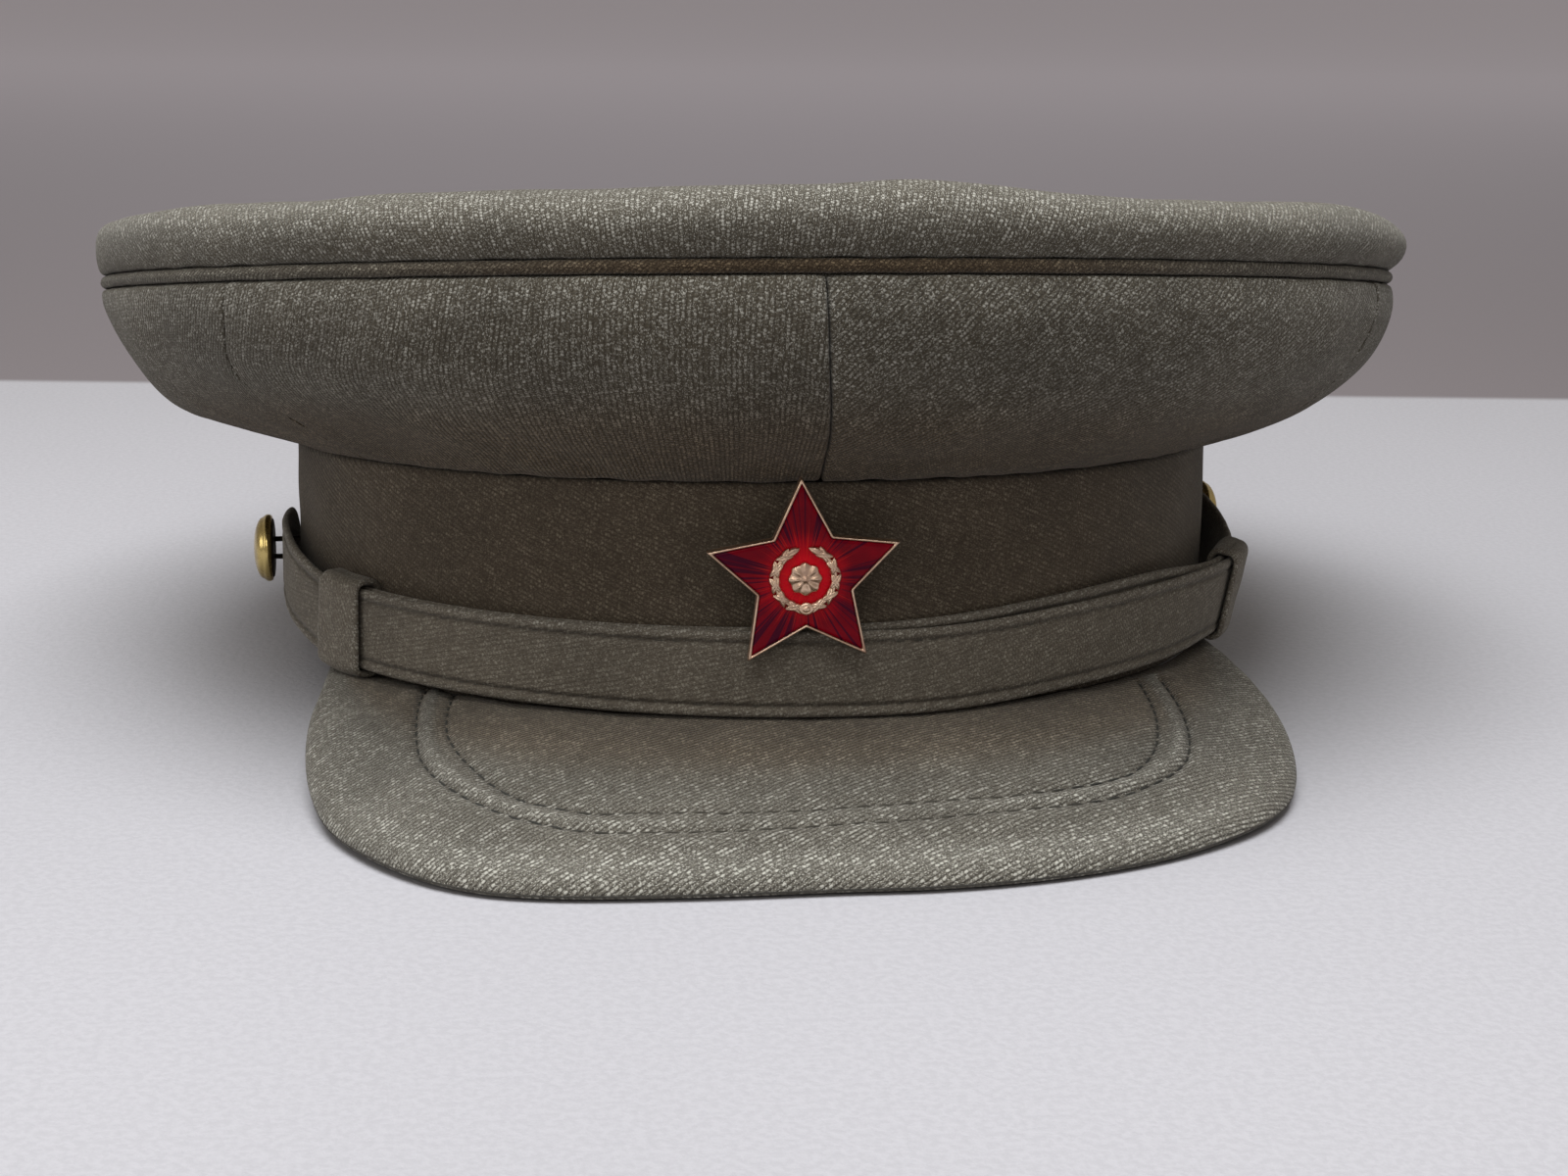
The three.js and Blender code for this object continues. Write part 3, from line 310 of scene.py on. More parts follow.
def piece(name, vertices, faces, material, replaces=(), weave=None, marks=None, weld=False):
    """A mesh object from points in metres, with its cloth coordinates and marks as point attributes."""
    mesh = bpy.data.meshes.new(name)
    mesh.from_pydata(np.asarray(vertices).reshape(-1, 3).tolist(), [], faces)
    for label, values in (("weave", weave), ("marks", marks)):
        if values is not None:
            layer = mesh.attributes.new(label, "FLOAT_VECTOR", "POINT")
            layer.data.foreach_set("vector", np.asarray(values, np.float32).reshape(-1))
    work = bmesh.new()
    work.from_mesh(mesh)
    if weld:
        bmesh.ops.remove_doubles(work, verts=work.verts, dist=1e-7)
        bmesh.ops.dissolve_degenerate(work, edges=work.edges, dist=1e-8)
    bmesh.ops.recalc_face_normals(work, faces=work.faces)
    for face in work.faces:
        face.smooth = True
    work.to_mesh(mesh)
    work.free()
    mesh.materials.append(material)
    made = linked(name, mesh)
    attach(made, "root")
    if replaces:
        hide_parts(*replaces)


def grid_piece(name, grid, closed, material, replaces=(), weave=None, marks=None, matrix=None, weld=False):
    """A piece from a grid of points. A row of rings gets caps, unless its ends are points, which are welded."""
    points = grid if matrix is None else transformed(grid, matrix)
    faces = grid_faces(*grid.shape[:2], closed, caps=closed == (False, True) and not weld)
    piece(name, placed(points), faces, material, replaces, weave, marks, weld)


def cloth_piece(name, grid, closed, material, weave, wear_and_painted_light, row=FAR, weld=False):
    """The cloth that stands for the CAD node of this name."""
    marks = marks_of(grid.shape[:2], row, wear_and_painted_light=wear_and_painted_light)
    grid_piece(name + "_cloth", grid, closed, material, [name], weave, marks, weld=weld)


def weave_of(u, v, degrees, number):
    """Cloth coordinates: along the ribs of the twill, across them, and a number for the cut piece."""
    a = math.radians(degrees)
    return joined(u * math.cos(a) + v * math.sin(a), v * math.cos(a) - u * math.sin(a), number)


def marks_of(shape, outer=FAR, inner=FAR, wear_and_painted_light=0.0):
    """Distances to the rows of stitching, and the amount of wear and painted light, which is negative for painted
    shade.
    """
    return np.stack([np.broadcast_to(x, shape) for x in (outer, inner, wear_and_painted_light)], -1).astype(float)


# ---------------------------------------------------------------- materials
class Nodes:
    """Small helper that builds a node tree for one material."""

    def __init__(self, name):
        self.material = bpy.data.materials.new(name)
        self.material.use_nodes = True
        self.tree = self.material.node_tree
        self.tree.nodes.clear()

    def feed(self, node, inputs):
        """Sets a node's inputs to values, or links them to other nodes' outputs."""
        for key, value in inputs.items():
            if isinstance(value, bpy.types.NodeSocket):
                self.tree.links.new(value, node.inputs[key])
            else:
                node.inputs[key].default_value = value

    def add(self, kind, inputs=None, output=0, **settings):
        """A new node with these inputs and settings. Returns one of its outputs."""
        node = self.tree.nodes.new(kind)
        for key, value in settings.items():
            setattr(node, key, value)
        self.feed(node, inputs or {})
        return node.outputs[output]

    def attribute(self, name):
        return self.add("ShaderNodeAttribute", attribute_name=name, output="Vector")

    def parts(self, vector):
        return (self.add("ShaderNodeSeparateXYZ", {0: vector}, output=k) for k in range(3))

    def math(self, operation, a, b=0.0, clamp=False):
        return self.add("ShaderNodeMath", {0: a, 1: b}, operation=operation, use_clamp=clamp)

    def plus(self, a, b, clamp=False):
        return self.math("ADD", a, b, clamp)

    def minus(self, a, b):
        return self.math("SUBTRACT", a, b)

    def times(self, a, b, clamp=False):
        return self.math("MULTIPLY", a, b, clamp)

    def ramp(self, value, low, high, to_low=0.0, to_high=1.0):
        return self.add(
            "ShaderNodeMapRange",
            {"Value": value, "From Min": low, "From Max": high, "To Min": to_low, "To Max": to_high},
            interpolation_type="SMOOTHSTEP",
        )

    def vector(self, x, y, z=0.0):
        return self.add("ShaderNodeCombineXYZ", {0: x, 1: y, 2: z})

    def noise(self, vector, scale, detail=2.0, roughness=0.5):
        inputs = {"Vector": vector, "Scale": scale, "Detail": detail, "Roughness": roughness}
        return self.add("ShaderNodeTexNoise", inputs)

    def chance(self, *place):
        """A random number from 0 to 1 that belongs to this place."""
        return self.add("ShaderNodeTexWhiteNoise", {"Vector": self.vector(*place)}, noise_dimensions="3D")

    def mix(self, factor, a, b, blend="MIX"):
        return self.add("ShaderNodeMix", {0: factor, 6: a, 7: b}, output=2, data_type="RGBA", blend_type=blend)

    def bump(self, height, distance, strength=1.0, normal=None):
        inputs = {"Height": height, "Distance": distance, "Strength": strength}
        if normal is not None:
            inputs["Normal"] = normal
        return self.add("ShaderNodeBump", inputs)

    def shade(self, **inputs):
        """Principled shader with these inputs, given with _ for a space."""
        shader = self.tree.nodes.new("ShaderNodeBsdfPrincipled")
        self.feed(shader, {key.replace("_", " "): value for key, value in inputs.items()})
        out = self.tree.nodes.new("ShaderNodeOutputMaterial")
        self.tree.links.new(shader.outputs[0], out.inputs["Surface"])
        return self.material


def cloth(name, groove, body, fleck, relief=0.00016, worn=(0.42, 0.41, 0.365), ribbed=1.0, flecks=1.0,
          pitch=0.62, notched=0.6):
    """Heathered wool twill.

    groove, body and fleck are the colours between, on and along the ribs, and worn that of rubbed places and of
    painted highlights.
    relief is in metres. ribbed, flecks and notched are shares: how far the grooves' colour and the flecks show,
    and how deep the ends of the floats are. pitch is the length of a float.
    """
    n = Nodes(name)
    along, across, cut = n.parts(n.attribute("weave"))
    row_a, row_b, wear_and_painted_light = n.parts(n.attribute("marks"))

    place = n.vector(along, across, n.times(cut, 31.7))
    wander = n.times(n.minus(n.noise(place, 0.16, 3.0, 0.6), 0.5), 0.9)
    turn = n.plus(n.math("DIVIDE", across, RIB), wander)
    rib = n.math("FLOOR", turn)
    inside = n.minus(turn, rib)
    ridge = n.math("SINE", n.times(inside, math.pi))
    # Each rib is a row of short floats that step along from rib to rib
    step = n.plus(n.math("DIVIDE", along, pitch), n.times(rib, 0.44))
    float_number = n.math("FLOOR", step)
    in_float = n.minus(step, float_number)
    notch = n.math("POWER", n.math("SINE", n.times(in_float, math.pi)), 0.8)
    lot, rib_lot = n.chance(rib, float_number, cut), n.chance(rib, cut, 3.3)

    stretched = n.vector(n.times(along, 1.5), n.times(across, 2.7), cut)
    fibre = n.noise(stretched, 1.0, 3.0, 0.6)
    sparkle = n.noise(stretched, 1.9, 2.0, 0.55)
    heather = n.noise(place, 0.5, 4.0, 0.62)
    cloud = n.noise(place, 0.035, 3.0, 0.55)

    height = n.times(ridge, n.plus(n.times(notch, notched), 1 - notched))
    height = n.plus(height, n.times(fibre, 0.7))
    dark, between = (*groove, 1), [b + (g - b) * ribbed for g, b in zip(groove, body)]
    colour = n.mix(n.ramp(ridge, 0.1, 0.85), (*between, 1), (*body, 1))
    colour = n.mix(n.ramp(fibre, 0.56, 0.36, 0.0, 0.55), colour, dark)
    bright = n.times(n.ramp(lot, 0.4, 1.0), n.ramp(height, 0.8, 1.25))
    bright = n.times(bright, n.ramp(heather, 0.38, 0.62, 0.25, 1.0))
    bright = n.math("MAXIMUM", bright, n.ramp(sparkle, 0.55, 0.67, 0.0, 0.9))
    colour = n.mix(n.times(bright, flecks), colour, (*fleck, 1))
    colour = n.mix(n.ramp(heather, 0.5, 0.3, 0.0, 0.4), colour, dark)
    colour = n.mix(n.ramp(rib_lot, 0.0, 1.0, 0.0, 0.1), colour, dark)
    tone = n.ramp(cloud, 0.3, 0.7, 0.88, 1.1)
    colour = n.mix(1.0, colour, n.add("ShaderNodeCombineColor", {0: tone, 1: tone, 2: tone}), "MULTIPLY")
    # Painted shade: deeper and browner where the third mark is negative
    painted_shade = n.ramp(wear_and_painted_light, 0.0, -1.0)
    colour = n.mix(painted_shade, colour, n.mix(1.0, colour, (0.72, 0.57, 0.43, 1), "MULTIPLY"))
    # Paler flecks where the third mark is positive: wear, and painted highlights in places
    wear_and_painted_light = n.math("MAXIMUM", wear_and_painted_light, 0.0)
    colour = n.mix(n.times(wear_and_painted_light, n.ramp(bright, 0.0, 0.7, 0.08, 1.0)), colour, (*worn, 1))
    # Pulled in and darker along the stitching
    pull = 0.0
    for row in (row_a, row_b):
        near = n.math("DIVIDE", n.math("ABSOLUTE", row), 0.5)
        pull = n.plus(n.math("EXPONENT", n.times(n.times(near, near), -1.0)), pull)
    colour = n.mix(n.times(pull, 0.35, clamp=True), colour, (*(0.6 * np.array(groove)), 1))
    stitched = n.bump(n.times(pull, -1.0), 0.0004)
    return n.shade(
        Base_Color=colour, Roughness=0.92, Specular_IOR_Level=0.16, Sheen_Weight=0.16, Sheen_Roughness=0.45,
        Sheen_Tint=(0.86, 0.84, 0.78, 1), Normal=n.bump(height, relief, 1.0, stitched),
    )


def metal(name, colour, deep, roughness):
    """Worn plated metal: fine scratches, soft dents and dirt in its low places."""
    n = Nodes(name)
    at = n.add("ShaderNodeTexCoord", output="Object")
    fine = n.noise(at, 2600.0, 3.0, 0.6)
    broad = n.noise(at, 260.0, 3.0, 0.55)
    drawn_out = n.add("ShaderNodeVectorMath", {0: at, 1: (900.0, 5200.0, 900.0)}, operation="MULTIPLY")
    scratch = n.noise(drawn_out, 1.0, 2.0)
    dirt = n.ramp(broad, 0.42, 0.66, 0.0, 0.35)
    tint = n.mix(dirt, (*colour, 1), (*deep, 1))
    rough = n.plus(n.ramp(scratch, 0.3, 0.7, roughness * 0.75, roughness * 1.35), n.times(dirt, 0.3))
    height = n.plus(n.times(fine, 0.35), broad)
    return n.shade(Base_Color=tint, Metallic=1.0, Roughness=rough, Normal=n.bump(height, 0.00003))


def enamel_material():
    """Translucent red enamel over a plate engraved with rays."""
    n = Nodes("red_enamel")
    at = n.attribute("weave")
    distance = n.add("ShaderNodeVectorMath", {0: at}, output="Value", operation="LENGTH")
    ray = n.add("ShaderNodeVectorMath", {0: at}, operation="NORMALIZE")
    rays = n.noise(ray, 13.0, 2.0, 0.6)
    fine = n.noise(ray, 42.0, 1.0, 0.5)
    cloud = n.noise(at, 0.16, 2.0, 0.5)
    uneven = n.times(n.minus(cloud, 0.5), 0.7)
    # Painted highlight: lighter red towards the middle, deeper towards the tips
    depth = n.plus(n.ramp(distance, 2.5, 9.5), uneven, clamp=True)
    base = n.mix(depth, (0.62, 0.0, 0.010, 1), (0.15, 0.0, 0.006, 1))
    outer = n.ramp(distance, 5.0, 8.0)
    base = n.mix(n.times(n.ramp(rays, 0.5, 0.58, 0.0, 0.85), outer), base, (0.032, 0.0, 0.012, 1))
    # Painted glints: bright red flecks near the middle
    near = n.ramp(distance, 11.0, 5.0)
    base = n.mix(n.times(n.ramp(fine, 0.56, 0.7, 0.0, 0.6), near), base, (0.70, 0.03, 0.01, 1))
    height = n.plus(rays, n.times(fine, 0.4))
    return n.shade(
        Base_Color=base, Roughness=0.45, Specular_IOR_Level=0.0, Coat_Weight=0.16, Coat_Roughness=0.06,
        Normal=n.bump(height, 0.0002, 0.5),
    )


def thread_material(name, colour, faded):
    """Twisted thread. The third cloth coordinate turns its colour from the unfaded to the faded one."""
    n = Nodes(name)
    at = n.attribute("weave")
    along, across, worn = n.parts(at)
    twist = n.math("SINE", n.times(n.plus(along, n.times(across, 0.5)), 14.0))
    fuzz = n.noise(at, 3.0, 2.0)
    base = n.mix(worn, (*colour, 1), (*faded, 1))
    shade = n.mix(n.ramp(n.plus(twist, fuzz), -0.6, 1.4, 0.65, 0.0), base, (0.012, 0.010, 0.008, 1))
    return n.shade(Base_Color=shade, Roughness=0.7, Normal=n.bump(twist, 0.00008))


# One cloth in copies: the welt's darker one is painted shade under the rolled edge; the band's darker, browner one
# and the visor's and strap's lighter ones are partly weathering, partly painted shade and painted light
CROWN = cloth("crown_cloth", (0.033, 0.026, 0.017), (0.070, 0.060, 0.043), (0.32, 0.31, 0.27), ribbed=0.6)
WELT = cloth("welt_cloth", (0.030, 0.024, 0.017), (0.062, 0.052, 0.039), (0.27, 0.255, 0.205), ribbed=0.5)
BAND = cloth(
    "band_cloth", (0.036, 0.027, 0.018), (0.066, 0.050, 0.035), (0.21, 0.18, 0.13), 0.00010, ribbed=0.3,
    flecks=0.7,
)
VISOR = cloth(
    "visor_cloth", (0.033, 0.027, 0.020), (0.105, 0.095, 0.076), (0.46, 0.45, 0.395), 0.00020,
    (0.46, 0.45, 0.395), flecks=0.65, pitch=0.85, notched=0.5,
)
STRAP = cloth(
    "strap_cloth", (0.050, 0.040, 0.030), (0.104, 0.088, 0.067), (0.30, 0.28, 0.225), 0.00006, ribbed=0.15,
    flecks=0.6,
)
THREAD = thread_material("dark_thread", (0.045, 0.045, 0.036), (0.11, 0.098, 0.072))
STRAP_THREAD = thread_material("khaki_thread", (0.10, 0.087, 0.062), (0.10, 0.087, 0.062))
BRASS = metal("button_brass", (0.56, 0.43, 0.17), (0.16, 0.10, 0.04), 0.2)
GILT = metal("rose_gilt", (0.70, 0.50, 0.36), (0.20, 0.06, 0.05), 0.3)
BACKING = metal("blackened_brass", (0.07, 0.055, 0.04), (0.02, 0.016, 0.012), 0.5)
STEEL = metal("steel", (0.32, 0.31, 0.29), (0.12, 0.10, 0.08), 0.38)
ENAMEL = enamel_material()


# ---------------------------------------------------------------- crown
def welt_points(azimuth):
    p = on_ellipse(CROWN_HALF_WIDTH, CROWN_HALF_LENGTH, azimuth)
    p[..., 2] = welt_plane(p[..., 1])
    p[..., 0] -= CROWN_FLAT * bell(azimuth - 90, 45)
    return p


def top_panel():
    """The round top with its rolled edge, from the welt to the middle."""
    columns = 360
    azimuths = np.arange(columns) * 360 / columns
    bulge, lift = table_value(TOP_EDGE_ROWS, azimuths, 360).T
    square = 1 + 0.8 * bell(azimuths - 278, 30)  # the roll is squarer on the left
    welt = welt_points(azimuths)
    radius = np.linalg.norm(welt[:, :2], axis=1)
    outward = unit(welt * (1, 1, 0))
    # Shares of the section's length, close together near the edge
    shares = np.concatenate([np.linspace(0, 0.03, 14), np.linspace(0.03, 0.36, 44)[1:], np.linspace(0.36, 1, 30)[1:]])
    outlines = []
    for k in range(columns):
        ridge, start = TOP_HEIGHT * (1 + lift[k]), WELT_RADIUS + GAP
        rolled = [
            (radius[k] - inward ** square[k] * TOP_ROLL + out * bulge[k] * TOP_HEIGHT, start + up * (ridge - start))
            for inward, up, out in TOP_SECTION_ROWS
        ]
        rolled[0] = (radius[k] + 0.05, start + 0.15)
        # Tucked in behind the welt
        tucked = [(radius[k] - 2.2, 0.85), (radius[k] - 1.35, 1.5), (radius[k] - 0.6, 1.5)]
        flat = radius[k] - TOP_ROLL
        disc = [
            (share * flat, TOP_HEIGHT + (ridge - TOP_HEIGHT) * share - TOP_SAG * (1 - share**2))
            for share in (0.66, 0.3, 0)
        ]
        outlines.append([*tucked, *rolled, *disc])
    section, length = sections_of(outlines, shares)
    from_middle = length[:, -1:] - length
    grid = outward[:, None] * section[..., :1]
    grid[..., 2] = welt_plane(grid[..., 1]) + section[..., 1]
    a = np.radians(azimuths)[:, None]
    u, v = from_middle * np.sin(a), -from_middle * np.cos(a)
    normals = grid_normals(grid, (True, False))
    normals[:, -1] = normals[:, -2]
    if normals[0, 10] @ outward[0] < 0:
        normals = -normals
    from_welt = from_middle[:, :1] - from_middle
    middle = smoothstep(from_middle, 0, 20)
    height = ripple(u, v, (0.28, 46, 5), (0.16, 17, 6))
    around = np.radians(azimuths)[:, None] * CROWN_MEAN
    gathers = ripple(around, 0, (0.16, 9, 7)) * bell(from_welt - 3, 4)
    height = height * smoothstep(from_welt, 2, 16) * middle + gathers
    # The stiff hoop inside the edge shows as a low ridge
    height += 0.12 * bell(from_welt - 20, 5) - 0.3 * bell(from_welt - 30, 8)
    # The edge sits a little lower left of the front and higher on the right
    low = 0.4 * bell(azimuths - 326, 8) - 1.25 * bell(azimuths - 50, 14)
    grid[..., 2] -= low[:, None] * smoothstep(from_welt, 5, 13) * (1 - smoothstep(from_welt, 24, 60))
    outer = grid + normals * height[..., None]
    lined = slice(11, None)  # the part of the section that has a wall behind it
    inner = grid[:, lined] - normals[:, lined] * CLOTH_WALL
    inner[:, 0] = inner[:, 1] - (0, 0, 0.8)
    full = np.concatenate([outer[:, ::-1], inner], 1)
    # Paler along the ridge of the rolled edge and a little over the flat top, partly wear and partly painted
    # highlight from the light above
    wear_and_painted_light = 0.75 * bell(from_welt - 13, 7) + 0.1 * smoothstep(from_welt, 20, 40)
    weave = weave_of(u, v, 82, 1)
    weave = np.concatenate([weave[:, ::-1], weave[:, lined]], 1)
    wear_and_painted_light = np.concatenate([wear_and_painted_light[:, ::-1], 0 * wear_and_painted_light[:, lined]], 1)
    cloth_piece("crown_top", full, (True, False), CROWN, weave, wear_and_painted_light, weld=True)


def seam_stations(span):
    """Distances along a panel, close together at its two seams."""
    ends = np.array([0, 0.06, 0.14, 0.26, 0.42, 0.64, 0.95, 1.4, 2.0]) + SEAM_HALF_GAP
    middle = np.linspace(3.2, span - 3.2, max(2, round((span - 6.4) / STATION_PITCH)))
    return np.concatenate([ends, middle, span - ends[::-1]])


def seam_dip(stations, span):
    """How far the face turns in towards the seams at the panel's ends."""
    to_seam = np.minimum(stations, span - stations) - SEAM_HALF_GAP
    return table_value(SEAM_DIP, np.clip(to_seam, 0, 4))[:, 0]


def quarter_panel(name, start, end, rib_degrees, number):
    """The panel between two seams, from the band to the welt."""
    span = math.radians(end - start) * QUARTER_MEAN
    stations = seam_stations(span)
    azimuths = start + np.degrees(stations / QUARTER_MEAN)
    spread = np.arange(start - 8, end + 8.1, 1.0)  # sections are drawn past the seams, because the seams turn
    rows = table_value(QUARTER_ROWS, spread % 360, 360).reshape(-1, 4, 2)
    base = on_ellipse(BAND_HALF_WIDTH, BAND_HALF_LENGTH, spread, band_top(spread))
    welt = welt_points(spread)
    across = (welt - base) * (1, 1, 0)
    reach = np.linalg.norm(across, axis=1)
    outward = unit(across)
    shares = np.concatenate([np.linspace(0, 0.93, 52), np.linspace(0.93, 1, 13)[1:]])
    outlines = []
    for k in range(len(spread)):
        rise = welt[k, 2] - base[k, 2] - WELT_RADIUS - 2 * GAP
        body = [(0, 0), *rows[k], (1, 1)]
        body = [(out * reach[k], GAP + up * rise) for out, up in body]
        body[-1] = (reach[k] + 0.05, body[-1][1] - 0.15)
        top = body[-1][1]
        # Tucked in behind the welt
        tucked = [(reach[k] - 0.6, top + 0.45), (reach[k] - 1.35, top + 0.45), (reach[k] - 2.2, top + 1.1)]
        outlines.append([(-1.3, 0.25), *body, *tucked])
    section, length = sections_of(outlines, shares)
    drawn = base[:, None] + outward[:, None] * section[..., :1]
    drawn[..., 2] += section[..., 1]
    # The seams' turns fade out from each seam into the panel
    t = (azimuths - start)[:, None] / (end - start)
    turn = table_value(SEAM_SKEW[start], shares)[:, 0] * (1 - smoothstep(t, 0, 0.8))
    turned = azimuths[:, None] + turn + table_value(SEAM_SKEW[end], shares)[:, 0] * smoothstep(t, 0.2, 1)
    grid, v = np.empty((*turned.shape, 3)), np.empty(turned.shape)
    for j in range(len(shares)):
        for axis in range(3):
            line = np.column_stack([spread, drawn[:, j, axis]])
            grid[:, j, axis] = table_value(line, turned[:, j])[:, 0]
        v[:, j] = np.interp(turned[:, j], spread, length[:, j])
    normals = grid_normals(grid)
    if normals[10, 27] @ (grid[10, 27] * (1, 1, 0)) < 0:
        normals = -normals
    u = stations[:, None] * np.ones_like(v)
    to_seam = np.minimum(stations, span - stations)[:, None]
    total = v[:, -1:]
    open_face = smoothstep(v, 0, 8) * smoothstep(total - v, 1, 10)
    height = ripple(u, v, (0.5, 52, number + 20), (0.22, 19, number + 40)) * open_face
    height *= smoothstep(to_seam, 0.5, 9)
    # Gathered where it joins the band, the welt and its neighbours
    height += ripple(u, 0, (0.22, 10, number + 60)) * bell(v - 4, 6)
    height += ripple(u, 0, (0.13, 8, number + 80)) * bell(total - v - 4, 3.5)
    height += ripple(0, v, (0.12, 7, number + 90)) * bell(to_seam - 1.5, 3)
    low, high = np.where((stations < span / 2)[:, None], SEAM_DEPTH[start], SEAM_DEPTH[end]).T[..., None]
    depth = low + (high - low) * smoothstep(v / total, 0.4, 0.85)
    height += depth * seam_dip(stations, span)[:, None] * smoothstep(total - v, 0, 3.5)
    outer = grid + normals * height[..., None]
    lined = slice(3, -9)  # the part of the section that has a wall behind it
    inner = grid[:, lined] - normals[:, lined] * CLOTH_WALL
    full = np.concatenate([outer, inner[:, ::-1]], 1)
    weave = weave_of(u, v, rib_degrees, number)
    weave = np.concatenate([weave, weave[:, lined][:, ::-1]], 1)
    # Paler along the seams and just below the welt; darker and browner towards the band, painted shade
    wear_and_painted_light = 0.25 * depth * bell(to_seam - 1.0, 0.8) + 0.2 * bell(total - v - 5, 4)
    wear_and_painted_light = wear_and_painted_light * smoothstep(v / total, 0.5, 0.8) - 1 + smoothstep(v / total, 0.15, 0.8)
    wear_and_painted_light = np.concatenate([wear_and_painted_light * np.ones_like(v), 0 * v[:, lined]], 1)
    cloth_piece(name, full, (False, True), CROWN, weave, wear_and_painted_light)


def welt():
    """The covered cord between the quarters and the top."""
    rings, sides = 560, 16
    azimuths = np.linspace(-180, 180, rings + 1)
    centre = welt_points(azimuths)
    outward = unit(centre * (1, 1, 0))
    centre = centre + outward * (WELT_PROUD - WELT_RADIUS)
    turns = np.arange(sides + 1) * 2 * np.pi / sides
    around = np.radians(azimuths)[:, None] * CROWN_MEAN
    girth = WELT_GIRTH * (1 + ripple(around, turns * WELT_RADIUS, (0.04, 14, 3), (0.02, 5, 4)))
    grid = centre[:, None] + outward[:, None] * (girth * np.cos(turns))[..., None]
    grid[..., 2] += girth * np.sin(turns)
    weave = weave_of(around, turns[None, :] * WELT_RADIUS, 52, 2)
    wear_and_painted_light = 0.15 - 1.15 * bell(azimuths[:, None], 32)  # painted shade across the front, under the rolled edge; a slight painted highlight elsewhere
    cloth_piece("crown_welt", grid, (False, False), WELT, weave, wear_and_painted_light)


# ---------------------------------------------------------------- band
def band():
    """The upright band, as one wall with rounded foot and head and a seam at the back."""
    radius = BAND_WALL / 2
    span = 2 * np.pi * BAND_MEAN
    stations = seam_stations(span)
    azimuths = 180 + 360 * stations / span
    top = band_top(azimuths)[:, None]
    side = top - 2 * radius
    foot = np.radians(np.linspace(180, 360, 9))
    head = np.radians(np.linspace(0, 180, 9))
    rise = np.linspace(0, 1, 34)[1:-1]
    drop = np.linspace(1, 0, 16)[1:-1]
    # Round the section: how much each point belongs to the outside, how far out it lies and how high
    face = np.concatenate([np.linspace(0.3, 1, 9), 1 + 0 * rise, np.linspace(1, 0.3, 9), 0 * drop])
    out = np.concatenate([radius * np.cos(foot), radius + 0 * rise, radius * np.cos(head), -radius + 0 * drop])
    v = np.concatenate([
        radius + radius * np.sin(foot) + 0 * side, radius + rise * side, top - radius + radius * np.sin(head),
        radius + drop * side,
    ], 1)
    u = stations[:, None] * np.ones_like(v)
    height = face * ripple(u, v, (0.3, 44, 11), (0.14, 15, 12)) * smoothstep(v, 0, 6)
    height += face * seam_dip(stations, span)[:, None]
    out, a = out - radius + height, np.radians(azimuths)[:, None]
    grid = joined((BAND_HALF_WIDTH + out) * np.sin(a), -(BAND_HALF_LENGTH + out) * np.cos(a), v)
    wear_and_painted_light = 0.3 * bell(v, 1.2) * (face > 0)
    cloth_piece("band", grid, (False, True), BAND, weave_of(u, v, -23, 8), wear_and_painted_light)


# ---------------------------------------------------------------- visor
def visor_outline(count):
    """The visor's edge in plan, with this many steps on each side of the middle."""
    front = -BAND_HALF_LENGTH - VISOR_REACH
    halves = []
    for side, (end, flare) in VISOR_ENDS.items():
        root = on_ellipse(BAND_HALF_WIDTH + GAP, BAND_HALF_LENGTH + GAP, float(end))
        column = 0 if side < 0 else 2
        rows = [
            (side * row[column] * (root[0] + flare), root[1] + (front - root[1]) * row[column + 1])
            for row in VISOR_EDGE_ROWS
        ]
        halves.append(spline(rows, np.linspace(0, 1, count + 1))[0])
    return np.vstack([halves[0][::-1], halves[1][1:]])


def row_distance(points, row):
    """Distance in plan to a row of stitching, positive towards the visor's edge."""
    path, _ = spline(row, np.linspace(0, 1, 700))
    flat = points[..., :2].reshape(-1, 2)
    along = unit(np.gradient(path, axis=0))
    out, batch = np.empty(len(flat)), 4000
    for part in range(0, len(flat), batch):
        offset = flat[part : part + batch, None] - path[None]
        nearest = (offset**2).sum(-1).argmin(1)
        d = offset[np.arange(len(nearest)), nearest]
        t = along[nearest]
        sign = np.sign(d[:, 0] * t[:, 1] - d[:, 1] * t[:, 0])
        out[part : part + batch] = np.linalg.norm(d, axis=1) * np.where(sign == 0, 1, sign)
    return out.reshape(points.shape[:-1])


